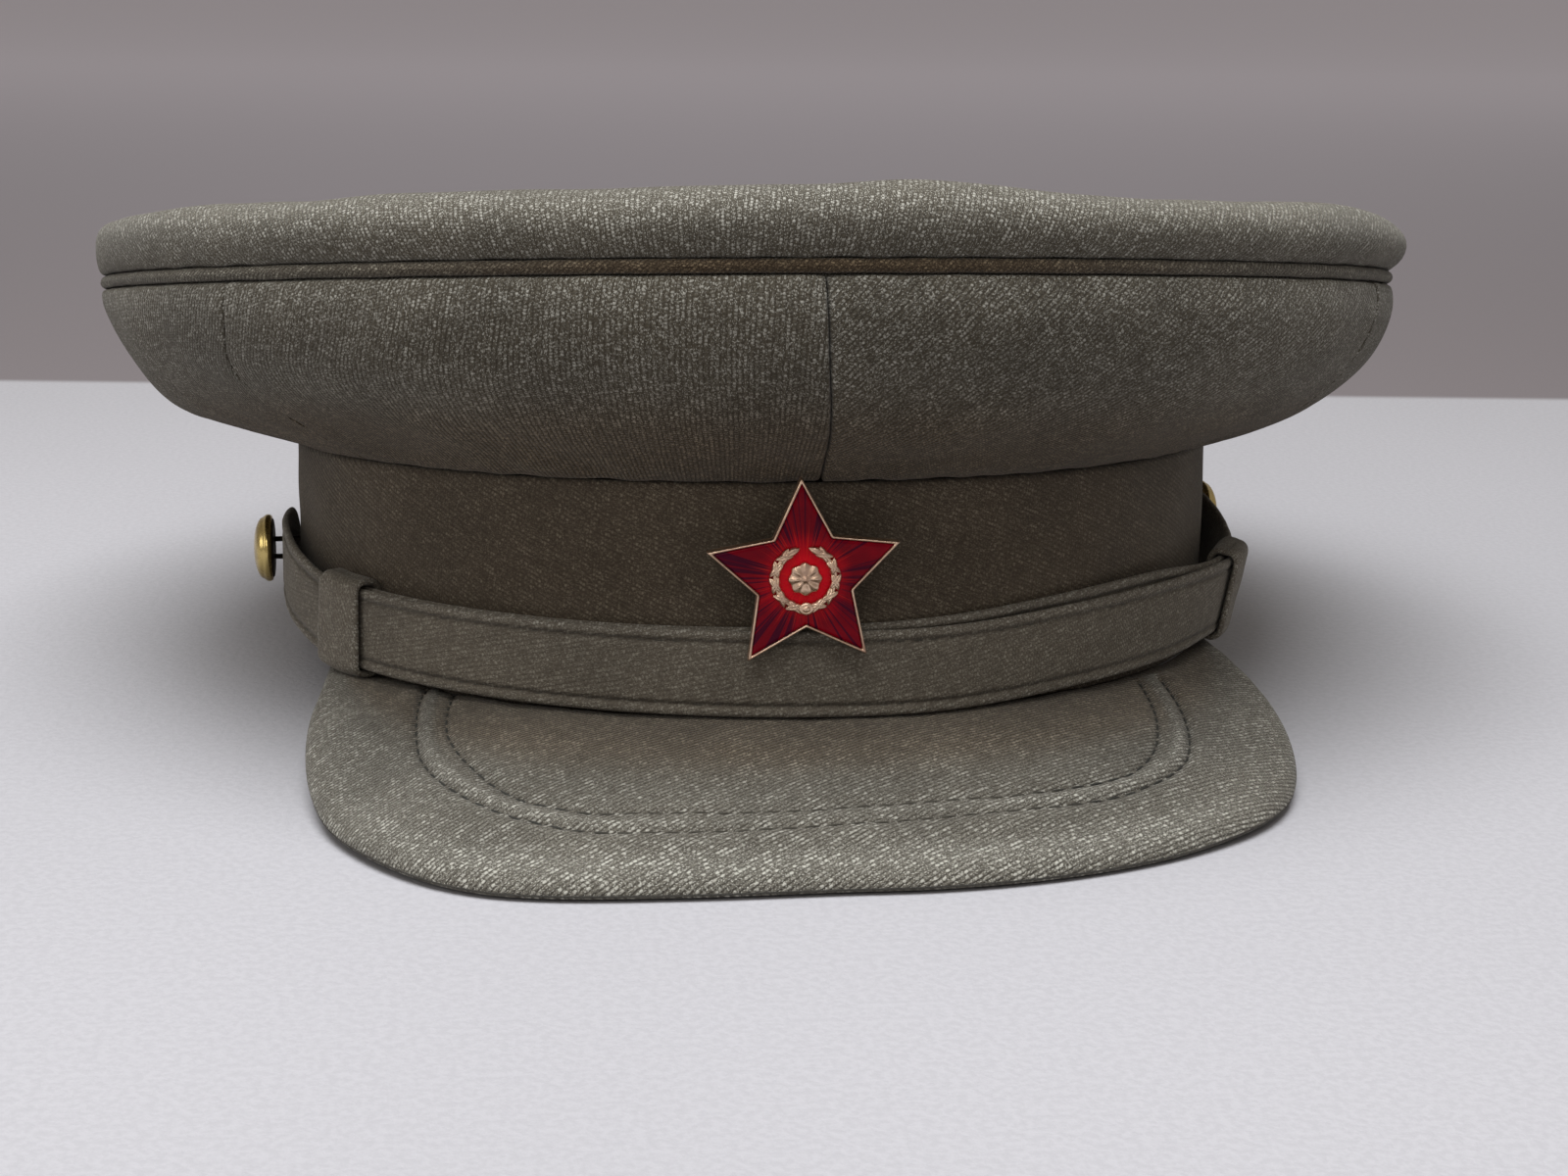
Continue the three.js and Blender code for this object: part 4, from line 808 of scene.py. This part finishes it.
def visor():
    """The cloth covered visor. Returns its surface, for the stitching to lie on."""
    steps = 150
    outline = visor_outline(steps)
    share = np.arange(-steps, steps + 1) / steps
    end = np.where(share < 0, VISOR_ENDS[-1][0], VISOR_ENDS[1][0])
    root = on_ellipse(BAND_HALF_WIDTH + GAP, BAND_HALF_LENGTH + GAP, share * end)
    root[:, 2] = VISOR_ROOT_TOP - VISOR_THICKNESS / 2
    rest = -(BAND_HALF_LENGTH - outline[:, 1]) * math.tan(LEAN)
    corner = VISOR_CORNER * smoothstep(np.abs(share), 0.3, 0.52)
    lift = smoothstep(np.abs(share), 0.52, 1)
    edge_z = (rest + corner + VISOR_THICKNESS / 2) * (1 - lift) + root[:, 2] * lift
    edge = np.column_stack([outline, edge_z])
    length = np.linalg.norm(edge - root, axis=1)
    camber = VISOR_CAMBER * length / VISOR_REACH
    # The lines of points lie close together near the edge, and closer still where the visor is short
    close = np.array([0, 0.08, 0.25, 0.5, 0.85, 1.3, 1.85, 2.5, 3.3, 4.2, 5.2]) * np.minimum(1, length / 14)[:, None]
    rest_of_it = (length[:, None] - close[:, -1:]) * np.linspace(0, 1, 62)[1:]
    from_edge = np.concatenate([close, close[:, -1:] + rest_of_it], 1)
    depth = 1 - from_edge / length[:, None]
    grid = root[:, None] * (1 - depth[..., None]) + edge[:, None] * depth[..., None]
    grid[..., 2] += 4 * camber[:, None] * depth * (1 - depth)
    nose = np.minimum(3.0, 0.42 * length)[:, None]
    swell = np.sqrt(np.clip(1 - (1 - np.minimum(from_edge / nose, 1)) ** 2, 0, 1))
    outer, inner = row_distance(grid, OUTER_ROW), row_distance(grid, INNER_ROW)
    x, y = grid[..., 0], grid[..., 1]
    curve = smoothstep(np.abs(x), 22, 44)
    puff = 0.3 * bell(outer - 2.6, 1.9) + (0.2 + 0.3 * curve) * bell(outer + 1.9, 1.1) + 0.12 * bell(inner + 3, 2)
    puff = puff - (0.22 + 0.2 * curve) * bell(outer, 0.7) - (0.14 + 0.22 * curve) * bell(inner, 0.7)
    rough = ripple(x, y, (0.22, 30, 14), (0.1, 11, 15))
    rolled = ripple(x, y, (0.14, 13, 16)) * bell(from_edge - 4, 4)
    top = np.array(grid)
    top[..., 2] += (VISOR_THICKNESS / 2 + puff + rough * smoothstep(from_edge, 2, 8) + rolled) * swell
    below = np.array(grid)
    below[..., 2] -= (VISOR_THICKNESS / 2 - 0.45 * bell(outer, 0.7) - 0.45 * bell(inner, 0.7)) * swell
    def around(above, under):
        return np.concatenate([above, under[:, :0:-1]], 1)
    full = around(top, below)
    # Cloth coordinates run over the edge: the height that the nose falls is added to the way forward
    fall = np.cumsum(np.linalg.norm(np.diff(top, axis=1, prepend=top[:, :1]), axis=-1), 1) - from_edge
    away = unit(edge[:, :2] - root[:, :2])[:, None] * (fall[:, -1:] - fall)[..., None]
    weave = weave_of(x + away[..., 0], y + away[..., 1], 33, 9)
    under = weave_of(x - away[..., 0], y - away[..., 1], -33, 10)
    front = (1 - smoothstep(np.abs(share), 0.3, 0.6))[:, None]
    # Paler at the nose, partly wear and partly painted highlight; painted highlight on the strip just inside the
    # outer row; darker and browner towards the band, painted shade under the crown's overhang
    wear_and_painted_light = (0.15 + 0.65 * front) * bell(from_edge - 3.6, 4.2) + (0.2 + 0.4 * curve) * bell(outer + 1.9, 1.2) + 0.18
    wear_and_painted_light = wear_and_painted_light - 0.8 * (1 - smoothstep(depth, 0.3, 0.7))
    # The rows sink in less across the front
    shallow = 0.6 * (1 - smoothstep(np.abs(x), 28, 50))
    rows = [around(mark, mark) for mark in (np.hypot(outer, shallow), np.hypot(inner, shallow))]
    marks = marks_of(full.shape[:2], *rows, around(wear_and_painted_light, 0.2 * wear_and_painted_light))
    faces = grid_faces(*full.shape[:2], (False, True), caps=True)
    piece("visor_cloth", placed(full), faces, VISOR, ["visor"], around(weave, under), marks)
    return BVHTree.FromPolygons(full.reshape(-1, 3).tolist(), faces)


# ---------------------------------------------------------------- stitching
def stitches(name, paths, normals, material, stitch=3.0, space=0.8, radius=0.18, sink=0.22):
    """Rows of stitches that dip into the cloth at their ends. Paths are fine lines of points."""
    sides, rings = 7, 9
    points, faces, weave = [], [], []
    for path, normal in zip(paths, normals):
        length = lengths_along(path)
        count = int(length[-1] / (stitch + space))
        for k in range(count):
            t = np.linspace(0, 1, rings)
            at = k * (length[-1] / count) + t * stitch
            centre = np.stack([np.interp(at, length, path[:, c]) for c in range(3)], -1)
            up = unit(np.stack([np.interp(at, length, normal[:, c]) for c in range(3)], -1))
            along = unit(np.gradient(centre, axis=0))
            side = np.cross(along, up)
            arch = np.sin(np.pi * t) ** 0.5
            centre = centre + up * (arch * (sink + radius * 0.45) - sink)[:, None]
            thick = radius * (0.7 + 0.3 * arch)
            turn = np.arange(sides) * 2 * np.pi / sides
            ring = rings_round(centre, thick, side * 1.15, up * 0.8, sides)
            faces += grid_faces(rings, sides, (False, True), caps=True, start=len(points) * rings * sides)
            points.append(ring)
            faded = 1 - smoothstep(np.abs(centre[:, :1]), 28, 50)
            weave.append(joined(at[:, None], turn[None], faded))
    piece(name, placed(np.array(points)), faces, material, weave=np.array(weave))


def visor_stitching(surface):
    """Both rows of stitches, above and below."""
    paths, normals = [], []
    for row in (OUTER_ROW, INNER_ROW):
        plan, _ = spline(row, np.linspace(0, 1, 320))
        for side in (1, -1):
            path, normal = [], []
            for x, y in plan:
                hit, facing, _, _ = surface.ray_cast(Vector((x, y, 60 * side)), Vector((0, 0, -side)))
                if hit is not None:
                    path.append(hit)
                    normal.append(facing if facing.z * side > 0 else -facing)
            paths.append(np.array(path))
            normals.append(np.array(normal))
    stitches("visor_stitching", paths, normals, THREAD)


# ---------------------------------------------------------------- chin strap
def strap_place(azimuth, layer):
    """Middle of the strap's inner face, the direction out of the band, and across it upwards."""
    def at(a):
        rows = table_value(STRAP_ROWS, a)
        height = (rows[..., 2] + (0.5 - layer) * rows[..., 3]) * STRAP_WIDTH
        ring = on_ellipse(BAND_HALF_WIDTH, BAND_HALF_LENGTH, a, height)
        return ring + band_normal(a) * rows[..., layer, None] * STRAP_THICKNESS
    azimuth = np.asarray(azimuth, float)
    outward = band_normal(azimuth)
    along = unit(at(azimuth + 0.5) - at(azimuth - 0.5))
    across = unit(np.cross(outward, along))
    across = across * np.where(across[..., 2:] < 0, -1, 1)
    across = unit(across + outward * np.tan(np.radians(table_value(STRAP_ROWS, azimuth)[..., 4:])))
    out = unit(np.cross(along, across))
    out = out * np.where((out * outward).sum(-1, keepdims=True) < 0, -1, 1)
    return at(azimuth), out, across


def strap_layer(name):
    """One layer of the strap, as cloth. Returns the middle line of its stitching and the way out along it."""
    button, plain, layer = STRAPS[name]
    inwards = -math.copysign(1, button)
    tip = button - inwards * STRAP_TAIL * DEGREES_PER_MM
    radius = STRAP_WIDTH / 2
    tail = np.array([0, 0.02, 0.05, 0.1, 0.17, 0.26, 0.37, 0.5, 0.65, 0.82, 1]) * radius
    total = abs(plain - tip) / DEGREES_PER_MM
    along = np.concatenate([tail, np.linspace(radius, total, round((total - radius) / 1.1))[1:]])
    azimuths = tip + inwards * along * DEGREES_PER_MM
    short = np.clip(1 - along / radius, 0, 1)
    width = STRAP_WIDTH * np.maximum(0.04, np.sqrt(1 - short**2))
    middle, out, across = strap_place(azimuths, layer)
    fan = np.linspace(-0.5, 0.5, 37)
    fan = np.sin(fan * np.pi) / 2 * 0.6 + fan * 0.4  # closer together at the edges
    c = fan[None] * width[:, None]
    to_edge = np.minimum(width[:, None] / 2 - np.abs(c), along[:, None])
    fold = np.sqrt(1 - (1 - np.clip(to_edge / 0.8, 0, 1)) ** 2)
    half = STRAP_THICKNESS / 2
    soft = ripple(along[:, None], c, (0.08, 16, 31 + layer), (0.05, 6, 33 + layer))
    face = half + fold * (half + 0.05 * bell(to_edge - 1.0, 0.7) - 0.12 * bell(to_edge - STITCH_IN, 0.4) + soft)
    back = half - fold * half
    def lay(offset, columns):
        return middle[:, None] + across[:, None] * columns[..., None] + out[:, None] * offset[..., None]
    skip = slice(-2, 0, -2)
    full = np.concatenate([lay(face, c), lay(back, c)[:, skip]], 1)
    u, v = np.broadcast_arrays(along[:, None] * inwards, c)
    weave = weave_of(u, v, 14, 11 + layer)
    row = to_edge - STITCH_IN
    wear_and_painted_light = 0.3 * bell(to_edge - 0.5, 0.6) + 0.05
    weave = np.concatenate([weave, weave[:, skip]], 1)
    row = np.concatenate([row, 0 * row[:, skip] + FAR], 1)
    wear_and_painted_light = np.concatenate([wear_and_painted_light, 0 * wear_and_painted_light[:, skip]], 1)
    cloth_piece(f"chin_strap_{name}", full, (False, True), STRAP, weave, wear_and_painted_light, row)
    # One row of stitching runs down both edges and round the end
    bend = radius - STITCH_IN
    turn = np.linspace(-np.pi / 2, np.pi / 2, 40)
    straight = np.linspace(total - 1.5, radius, 420)
    runs = np.concatenate([straight, radius - bend * np.cos(turn), straight[::-1]])
    places = np.concatenate([0 * straight - bend, bend * np.sin(turn), 0 * straight + bend])
    middle, out, across = strap_place(tip + inwards * runs * DEGREES_PER_MM, layer)
    path = middle + across * places[:, None] + out * (STRAP_THICKNESS - 0.25)
    return path, out


def runner(name, azimuth):
    """A loop of folded cloth round both layers of the strap."""
    half = RUNNER_LENGTH / 2
    faced = 21  # rows of points outside, before those inside
    run = np.concatenate([np.linspace(-half, half, faced), np.linspace(half, -half, 13)[1:-1]])
    to_edge = half - np.abs(run)
    fold = np.sqrt(1 - (1 - np.clip(to_edge / 1.0, 0, 1)) ** 2)
    is_face = np.arange(len(run)) < faced
    outside = RUNNER_WALL * (0.5 + 0.5 * fold) + 0.25 * fold * bell(run, 6)
    grow = np.where(is_face, outside, RUNNER_WALL * 0.5 * (1 - fold))
    azimuths = azimuth + run * DEGREES_PER_MM
    middle, out, across = strap_place(azimuths, 0)
    layers = ((strap_place(azimuths, 1)[0] - middle) * out).sum(-1) + STRAP_THICKNESS
    sides = []
    for k in range(len(run)):
        g = grow[k]
        high = STRAP_WIDTH / 2 + RUNNER_EASE + g
        near, far = -RUNNER_EASE - g, layers[k] + RUNNER_EASE + g
        corner = min(1.3 + g, (far - near) / 2 - 0.05)
        loop = []
        centres = [
            (high - corner, far - corner), (-high + corner, far - corner),
            (-high + corner, near + corner), (high - corner, near + corner),
        ]
        goals = [(-high + corner, far), (-high, near + corner), (high - corner, near), (high, far - corner)]
        for quarter, ((cx, cy), goal) in enumerate(zip(centres, goals)):
            for step in np.linspace(0, np.pi / 2, 9):
                turn = quarter * np.pi / 2 + step
                loop.append((cx + corner * np.cos(turn), cy + corner * np.sin(turn)))
            here = loop[-1]
            count = 14 if quarter % 2 == 0 else 2
            loop += [tuple(np.array(here) + (np.array(goal) - here) * s) for s in np.linspace(0, 1, count + 2)[1:-1]]
        loop = np.array(loop)
        sides.append(middle[k] + across[k] * loop[:, :1] + out[k] * loop[:, 1:])
    grid = np.array(sides)  # one loop for each place along the runner's section
    soft = ripple(np.arange(grid.shape[1])[None] * 0.9, run[:, None], (0.12, 9, 41)) * is_face[:, None]
    centre = grid.mean(1, keepdims=True)
    grid = grid + unit(grid - centre) * soft[..., None]
    around = lengths_along(grid[faced // 2])
    weave = weave_of(run[:, None], around[None], 62, 15)
    wear_and_painted_light = np.where(is_face, 0.3 * bell(to_edge, 1.2) + 0.1, 0)[:, None]
    cloth_piece(f"strap_runner_{name}", grid, (True, True), STRAP, weave, wear_and_painted_light)


# ---------------------------------------------------------------- buttons
def lathe(name, rows, matrix, material, replaces=(), sides=72, count=60):
    """A turned piece from (radius, height) rows, about its own Z."""
    profile, _ = spline(rows, np.linspace(0, 1, count))
    profile[:, 0] = np.maximum(profile[:, 0], 0)
    turn = np.arange(sides)[:, None] * 2 * np.pi / sides
    grid = joined(profile[:, 0] * np.cos(turn), profile[:, 0] * np.sin(turn), profile[:, 1])
    grid[:, [0, -1], :2] *= np.where(profile[[0, -1], :1] < 1e-3, 0, 1)
    grid_piece(name, grid, (True, False), material, replaces, matrix=matrix, weld=True)


def wire(name, path, radius, matrix, material):
    """A round wire along a path in the plane across X."""
    path, across = np.asarray(path, float), np.array([1.0, 0, 0])
    up = unit(np.cross(unit(np.gradient(path, axis=0)), across) + 1e-9)
    grid_piece(name, rings_round(path, radius, across, up, 12), (False, True), material, matrix=matrix)


def button(side, strap):
    """A domed button with its back plate and shank, on the button end of this strap layer."""
    azimuth, _, layer = STRAPS[strap]
    middle, _, _ = strap_place(float(azimuth), layer)
    clearance = table_value(STRAP_ROWS, float(azimuth))[layer] * STRAP_THICKNESS
    out = Vector(band_normal(float(azimuth)))
    up = Vector((0, 0, 1))
    matrix = Matrix((up.cross(out), up, out)).transposed().to_4x4()
    matrix.translation = Vector(middle) - out * clearance
    plate = clearance + STRAP_THICKNESS + BUTTON_STANDOFF
    r, h = BUTTON_RADIUS, BUTTON_RISE
    dome = [
        (0.84, 0.11), (0.93, 0.09), (0.985, 0.17), (1, 0.3), (0.985, 0.4), (0.95, 0.47), (0.925, 0.53), (0.89, 0.64),
        (0.8, 0.76), (0.68, 0.85), (0.53, 0.925), (0.37, 0.97), (0.18, 0.995), (0, 1),
    ]
    lathe(f"button_{side}_dome", [(x * r, plate + z * h) for x, z in dome], matrix, BRASS,
          [f"button_{side}"])
    rear = [(0, 0.02), (0.3, 0.0), (0.62, 0.0), (0.8, 0.01), (0.87, 0.05), (0.88, 0.12)]
    rear += [(0.8, 0.16), (0.4, 0.17), (0, 0.17)]
    lathe(f"button_{side}_back", [(x * r, plate + z * h) for x, z in rear], matrix, BACKING)
    half = SHANK_SPACING / 2
    foot = -BAND_WALL - SHANK_TAIL + half
    turn = np.linspace(0, np.pi, 17)
    path = [(0, half, plate + 0.3), (0, half, (plate + foot) / 2)]
    path += [(0, half * math.cos(t), foot - half * math.sin(t)) for t in turn]
    path += [(0, -half, (plate + foot) / 2), (0, -half, plate + 0.3)]
    wire(f"button_{side}_shank", path, SHANK_WIRE / 2, matrix, BACKING)


# ---------------------------------------------------------------- star badge
strap_face = (table_value(STRAP_ROWS, 0.0)[1] + 1) * STRAP_THICKNESS
standoff = strap_face + GAP + STAR_RADIUS * math.cos(math.radians(36 - STAR_TURN)) * math.tan(math.radians(STAR_LEAN))
STAR = (
    Matrix.Translation((STAR_SIDE, -BAND_HALF_LENGTH - standoff, BAND_FRONT + STAR_TIP - STAR_RADIUS))
    @ Matrix.Rotation(math.pi / 2 + math.radians(STAR_LEAN), 4, "X")
    @ Matrix.Rotation(math.radians(STAR_TURN), 4, "Z")
)


def star_ring(inset):
    """Outline of the star moved in by the inset, with slightly rounded corners."""
    inner, tenth = STAR_INNER * STAR_RADIUS, math.radians(36)
    tip, corner = np.array([0, STAR_RADIUS]), inner * np.array([math.sin(tenth), math.cos(tenth)])
    side = corner - tip
    distance = abs(tip[0] * side[1] - tip[1] * side[0]) / np.linalg.norm(side)
    corners = []
    for k in range(10):
        r = (inner if k % 2 else STAR_RADIUS) * (distance - inset) / distance
        corners.append((r * math.sin(tenth * k), r * math.cos(tenth * k)))
    corners = np.array(corners)
    ring = []
    for k in range(10):
        here, before, after = corners[k], corners[k - 1], corners[(k + 1) % 10]
        cut = STAR_SOFTEN * (distance - inset) / distance
        a, b = here + unit(before - here) * cut, here + unit(after - here) * cut
        for t in np.linspace(0, 1, 5):
            ring.append((1 - t) ** 2 * a + 2 * t * (1 - t) * here + t * t * b)
        far = after + unit(here - after) * cut
        ring += [b + (far - b) * t for t in np.linspace(0, 1, 8)[1:-1]]
    return np.array(ring)


def star_piece(name, rows, material, replaces):
    """A solid of star outlines, from (inset, height) rows that begin and end in the middle."""
    grid = np.array([joined(*star_ring(inset).T, z) for inset, z in rows])
    grid_piece(name, grid, (False, True), material, replaces, grid * (1, 1, 0), matrix=STAR, weld=True)


def leaf_mesh(azimuth, turn, z):
    """A pointed leaf with a sunk midrib, as rings along it."""
    t = np.linspace(0.02, 0.98, 11)
    half = LEAF_WIDTH / 2 * np.sin(np.pi * t**1.15) ** 0.75
    tall = LEAF_THICKNESS * np.sin(np.pi * t) ** 0.5
    across = np.array([-1, -0.85, -0.55, -0.2, 0, 0.2, 0.55, 0.85, 1, 0])
    rise = np.array([0, 0.4, 0.85, 0.9, 0.62, 0.9, 0.85, 0.4, 0, -0.2])
    ring = joined(half[:, None] * across, (t[:, None] - 0.5) * LEAF_LENGTH, tall[:, None] * rise)
    a, r = math.radians(turn), math.radians(azimuth)
    place = Matrix.Translation((WREATH_RADIUS * math.sin(r), WREATH_RADIUS * math.cos(r), z))
    return transformed(ring, place @ Matrix.Rotation(a, 4, "Z"))


def wreath():
    """A laurel wreath open at the top, on the enamel."""
    z = STAR_PLATE + ENAMEL_THICKNESS + 2 * GAP - 0.05
    leaves = []
    for side in (1, -1):
        for share in np.linspace(0, 1, LEAF_PAIRS):
            azimuth = (WREATH_FOOT + (WREATH_OPENING + WREATH_NEXT - WREATH_FOOT) * share) * side
            leaves += [leaf_mesh(azimuth, 90 * side - azimuth + lean, z) for lean in (LEAF_LEAN, -LEAF_LEAN)]
        leaves.append(leaf_mesh(WREATH_OPENING * side, (90 - WREATH_OPENING) * side, z))
    grids = np.array(leaves)
    faces = []
    for k in range(len(grids)):
        faces += grid_faces(*grids.shape[1:3], (False, True), caps=True, start=k * grids.shape[1] * grids.shape[2])
    piece("badge_wreath_leaves", placed(transformed(grids, STAR)), faces, GILT, ["badge_wreath"])
    turn = np.radians(np.linspace(WREATH_OPENING, 360 - WREATH_OPENING, 90))
    centre = joined(WREATH_RADIUS * np.sin(turn), WREATH_RADIUS * np.cos(turn), z + 0.12)
    stem = rings_round(centre, 0.34, unit(centre * (1, 1, 0)), np.array([0, 0, 1.0]), 10)
    grid_piece("badge_wreath_stem", stem, (False, True), GILT, matrix=STAR)
    # Knot at the foot, and a rosette of eight flutes in the middle
    knot = [(0, -0.1), (0.9, -0.1), (1.15, 0.2), (1.02, 0.6), (0.75, 0.74), (0.6, 0.66), (0.42, 0.9), (0, 1.02)]
    place = STAR @ Matrix.Translation((0, -WREATH_RADIUS, z)) @ Matrix.Scale(1.25, 4, (1, 0, 0))
    lathe("badge_wreath_knot", knot, place, GILT, sides=32, count=30)
    boss = STAR @ Matrix.Translation((0, 0, z))
    radius = np.linspace(0, 1, 26)[:, None]
    turn = np.linspace(0, 2 * np.pi, 97)[None, :-1]
    flute = 0.5 + 0.5 * np.cos(8 * turn)
    reach = BOSS_RADIUS * radius * (1 - 0.12 * (1 - flute) * radius**2)
    dome = (1 - radius**2) ** 0.5 * (0.55 + 0.45 * flute * smoothstep(radius, 0.15, 0.6))
    rise = 0.25 + 0.75 * dome + 0.45 * bell(radius, 0.2)
    top = joined(reach * np.cos(turn), reach * np.sin(turn), rise)
    foot = top[-1:] * (1, 1, 0) - (0, 0, 0.15)
    rosette = np.concatenate([top, foot, foot * (0, 0, 1)])
    grid_piece("badge_boss", rosette, (False, True), GILT, matrix=boss, weld=True)


def badge():
    """The star's plate with its raised edge, the enamel in it and the wreath."""
    plate = [(STAR_MIDDLE, 0), (4, 0), (0.5, 0), (0.12, 0.03), (0, 0.18), (0, 0.9), (0, 1.45)]
    plate += [(0.04, 1.72), (0.14, 1.92), (0.27, 1.99), (0.4, 1.94), (0.5, 1.78), (0.58, 1.5)]
    plate += [(inset, STAR_PLATE) for inset in (0.62, 2, 5, STAR_MIDDLE)]
    star_piece("badge_star_plate", plate, GILT, ["badge_star"])
    low = STAR_PLATE + 0.1
    face = [(STAR_MIDDLE, low), (4, low), (0.8, low), (0.6, low + 0.2), (0.56, 1.55), (0.66, 1.74), (0.9, 1.82)]
    face += [(inset, 1.84 + 0.2 * smoothstep(inset, 1, STAR_MIDDLE)) for inset in np.linspace(1.3, STAR_MIDDLE, 16)]
    star_piece("badge_star_enamel", face, ENAMEL, ["badge_enamel"])
    wreath()


# ---------------------------------------------------------------- the cap
top_panel()
quarter_panel("crown_quarter_front_right", 0, SEAM_RIGHT, 48, 3)
quarter_panel("crown_quarter_back_right", SEAM_RIGHT, 180, 66, 4)
quarter_panel("crown_quarter_back_left", 180, 360 - SEAM_LEFT, 72, 5)
quarter_panel("crown_quarter_front_left", 360 - SEAM_LEFT, 360, 84, 6)
welt()
band()
visor_stitching(visor())
strap_paths, strap_normals = zip(*(strap_layer(name) for name in STRAPS))
stitches("chin_strap_stitching", strap_paths, strap_normals, STRAP_THREAD, 2.6, 0.7, 0.13, 0.16)
for name, azimuth in RUNNERS.items():
    runner(name, azimuth)
button("left", "outer")
button("right", "inner")
badge()

for node in ("button_pin_left", "button_pin_right", "badge_post"):
    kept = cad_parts[node]
    kept.data.materials.clear()
    kept.data.materials.append(STEEL)


# ---------------------------------------------------------------- table, light and camera
CAMERA_PLACE = (-0.050863, -0.522028, 0.148245)
CAMERA_PAN, CAMERA_PITCH, CAMERA_ROLL, CAMERA_LENS = -0.1075, -0.25, 0.012, 58.5
HEADING = (0.107, 0.994, 0.0)  # the way the camera looks, in plan
PALE_END = (0.322, 0.331)  # metres that way at which the pale surface ends


def floor():
    """A pale surface. It ends behind the cap in a darker zone that stands for the photograph's wall."""
    n = Nodes("table_top")
    at = n.add("ShaderNodeTexCoord", output="Object")
    heading = n.add("ShaderNodeVectorMath", {0: at, 1: HEADING}, output="Value", operation="DOT_PRODUCT")
    grain = n.noise(at, 700.0, 2.0, 0.6)
    soft = n.noise(at, 2.5, 2.0, 0.5)
    pale = n.mix(n.ramp(soft, 0.3, 0.7), (0.385, 0.378, 0.398, 1), (0.42, 0.412, 0.434, 1))
    pale = n.mix(n.ramp(grain, 0.35, 0.65, 0.0, 0.25), pale, (0.30, 0.293, 0.309, 1))
    # The darker zone grows paler with distance: painted light that makes up for the lamps' falloff
    backdrop = n.mix(n.ramp(heading, 0.2, 2.6), (0.168, 0.147, 0.152, 1), (0.68, 0.64, 0.71, 1))
    colour = n.mix(n.ramp(heading, *PALE_END), pale, backdrop)
    material = n.shade(Base_Color=colour, Roughness=0.75, Normal=n.bump(grain, 0.00015))
    mesh = bpy.data.meshes.new("table_top")
    mesh.from_pydata([(-20, -20, 0), (20, -20, 0), (20, 20, 0), (-20, 20, 0)], [], [(0, 1, 2, 3)])
    mesh.materials.append(material)
    made = linked("table_top", mesh)


def area_light(name, place, size, power, colour):
    """A rectangular light that faces the cap."""
    data = bpy.data.lights.new(name, "AREA")
    data.shape, data.size, data.size_y = "RECTANGLE", *size
    data.energy, data.color = power, colour
    made = linked(name, data)
    made.location = place
    made.rotation_euler = (Vector((0, 0, 0.05)) - Vector(place)).to_track_quat("-Z", "Y").to_euler()


def light_and_camera():
    """Soft light from above and in front, and the photograph's camera."""
    scene = bpy.context.scene
    world = bpy.data.worlds.new("studio")
    world.use_nodes = True
    background = world.node_tree.nodes["Background"]
    background.inputs["Color"].default_value = (1.0, 0.94, 0.88, 1)
    background.inputs["Strength"].default_value = 0.36
    scene.world = world
    area_light("overhead", (-0.1, -0.24, 1.05), (0.9, 0.8), 18, (0.96, 0.98, 1))
    area_light("front", (-0.5, -1.7, 1.0), (0.9, 0.6), 3.5, (1, 0.98, 0.95))
    area_light("left", (-1.3, -0.5, 0.5), (0.6, 0.6), 2.2, (1, 0.98, 0.95))
    scene.view_settings.view_transform = "Standard"
    data = bpy.data.cameras.new("camera")
    data.sensor_width, data.lens = 36, CAMERA_LENS
    camera = linked("camera", data)
    camera.matrix_world = (
        Matrix.Translation(CAMERA_PLACE)
        @ Matrix.Rotation(CAMERA_PAN, 4, "Z")
        @ Matrix.Rotation(math.pi / 2 + CAMERA_PITCH, 4, "X")
        @ Matrix.Rotation(CAMERA_ROLL, 4, "Z")
    )
    scene.camera = camera


floor()
light_and_camera()
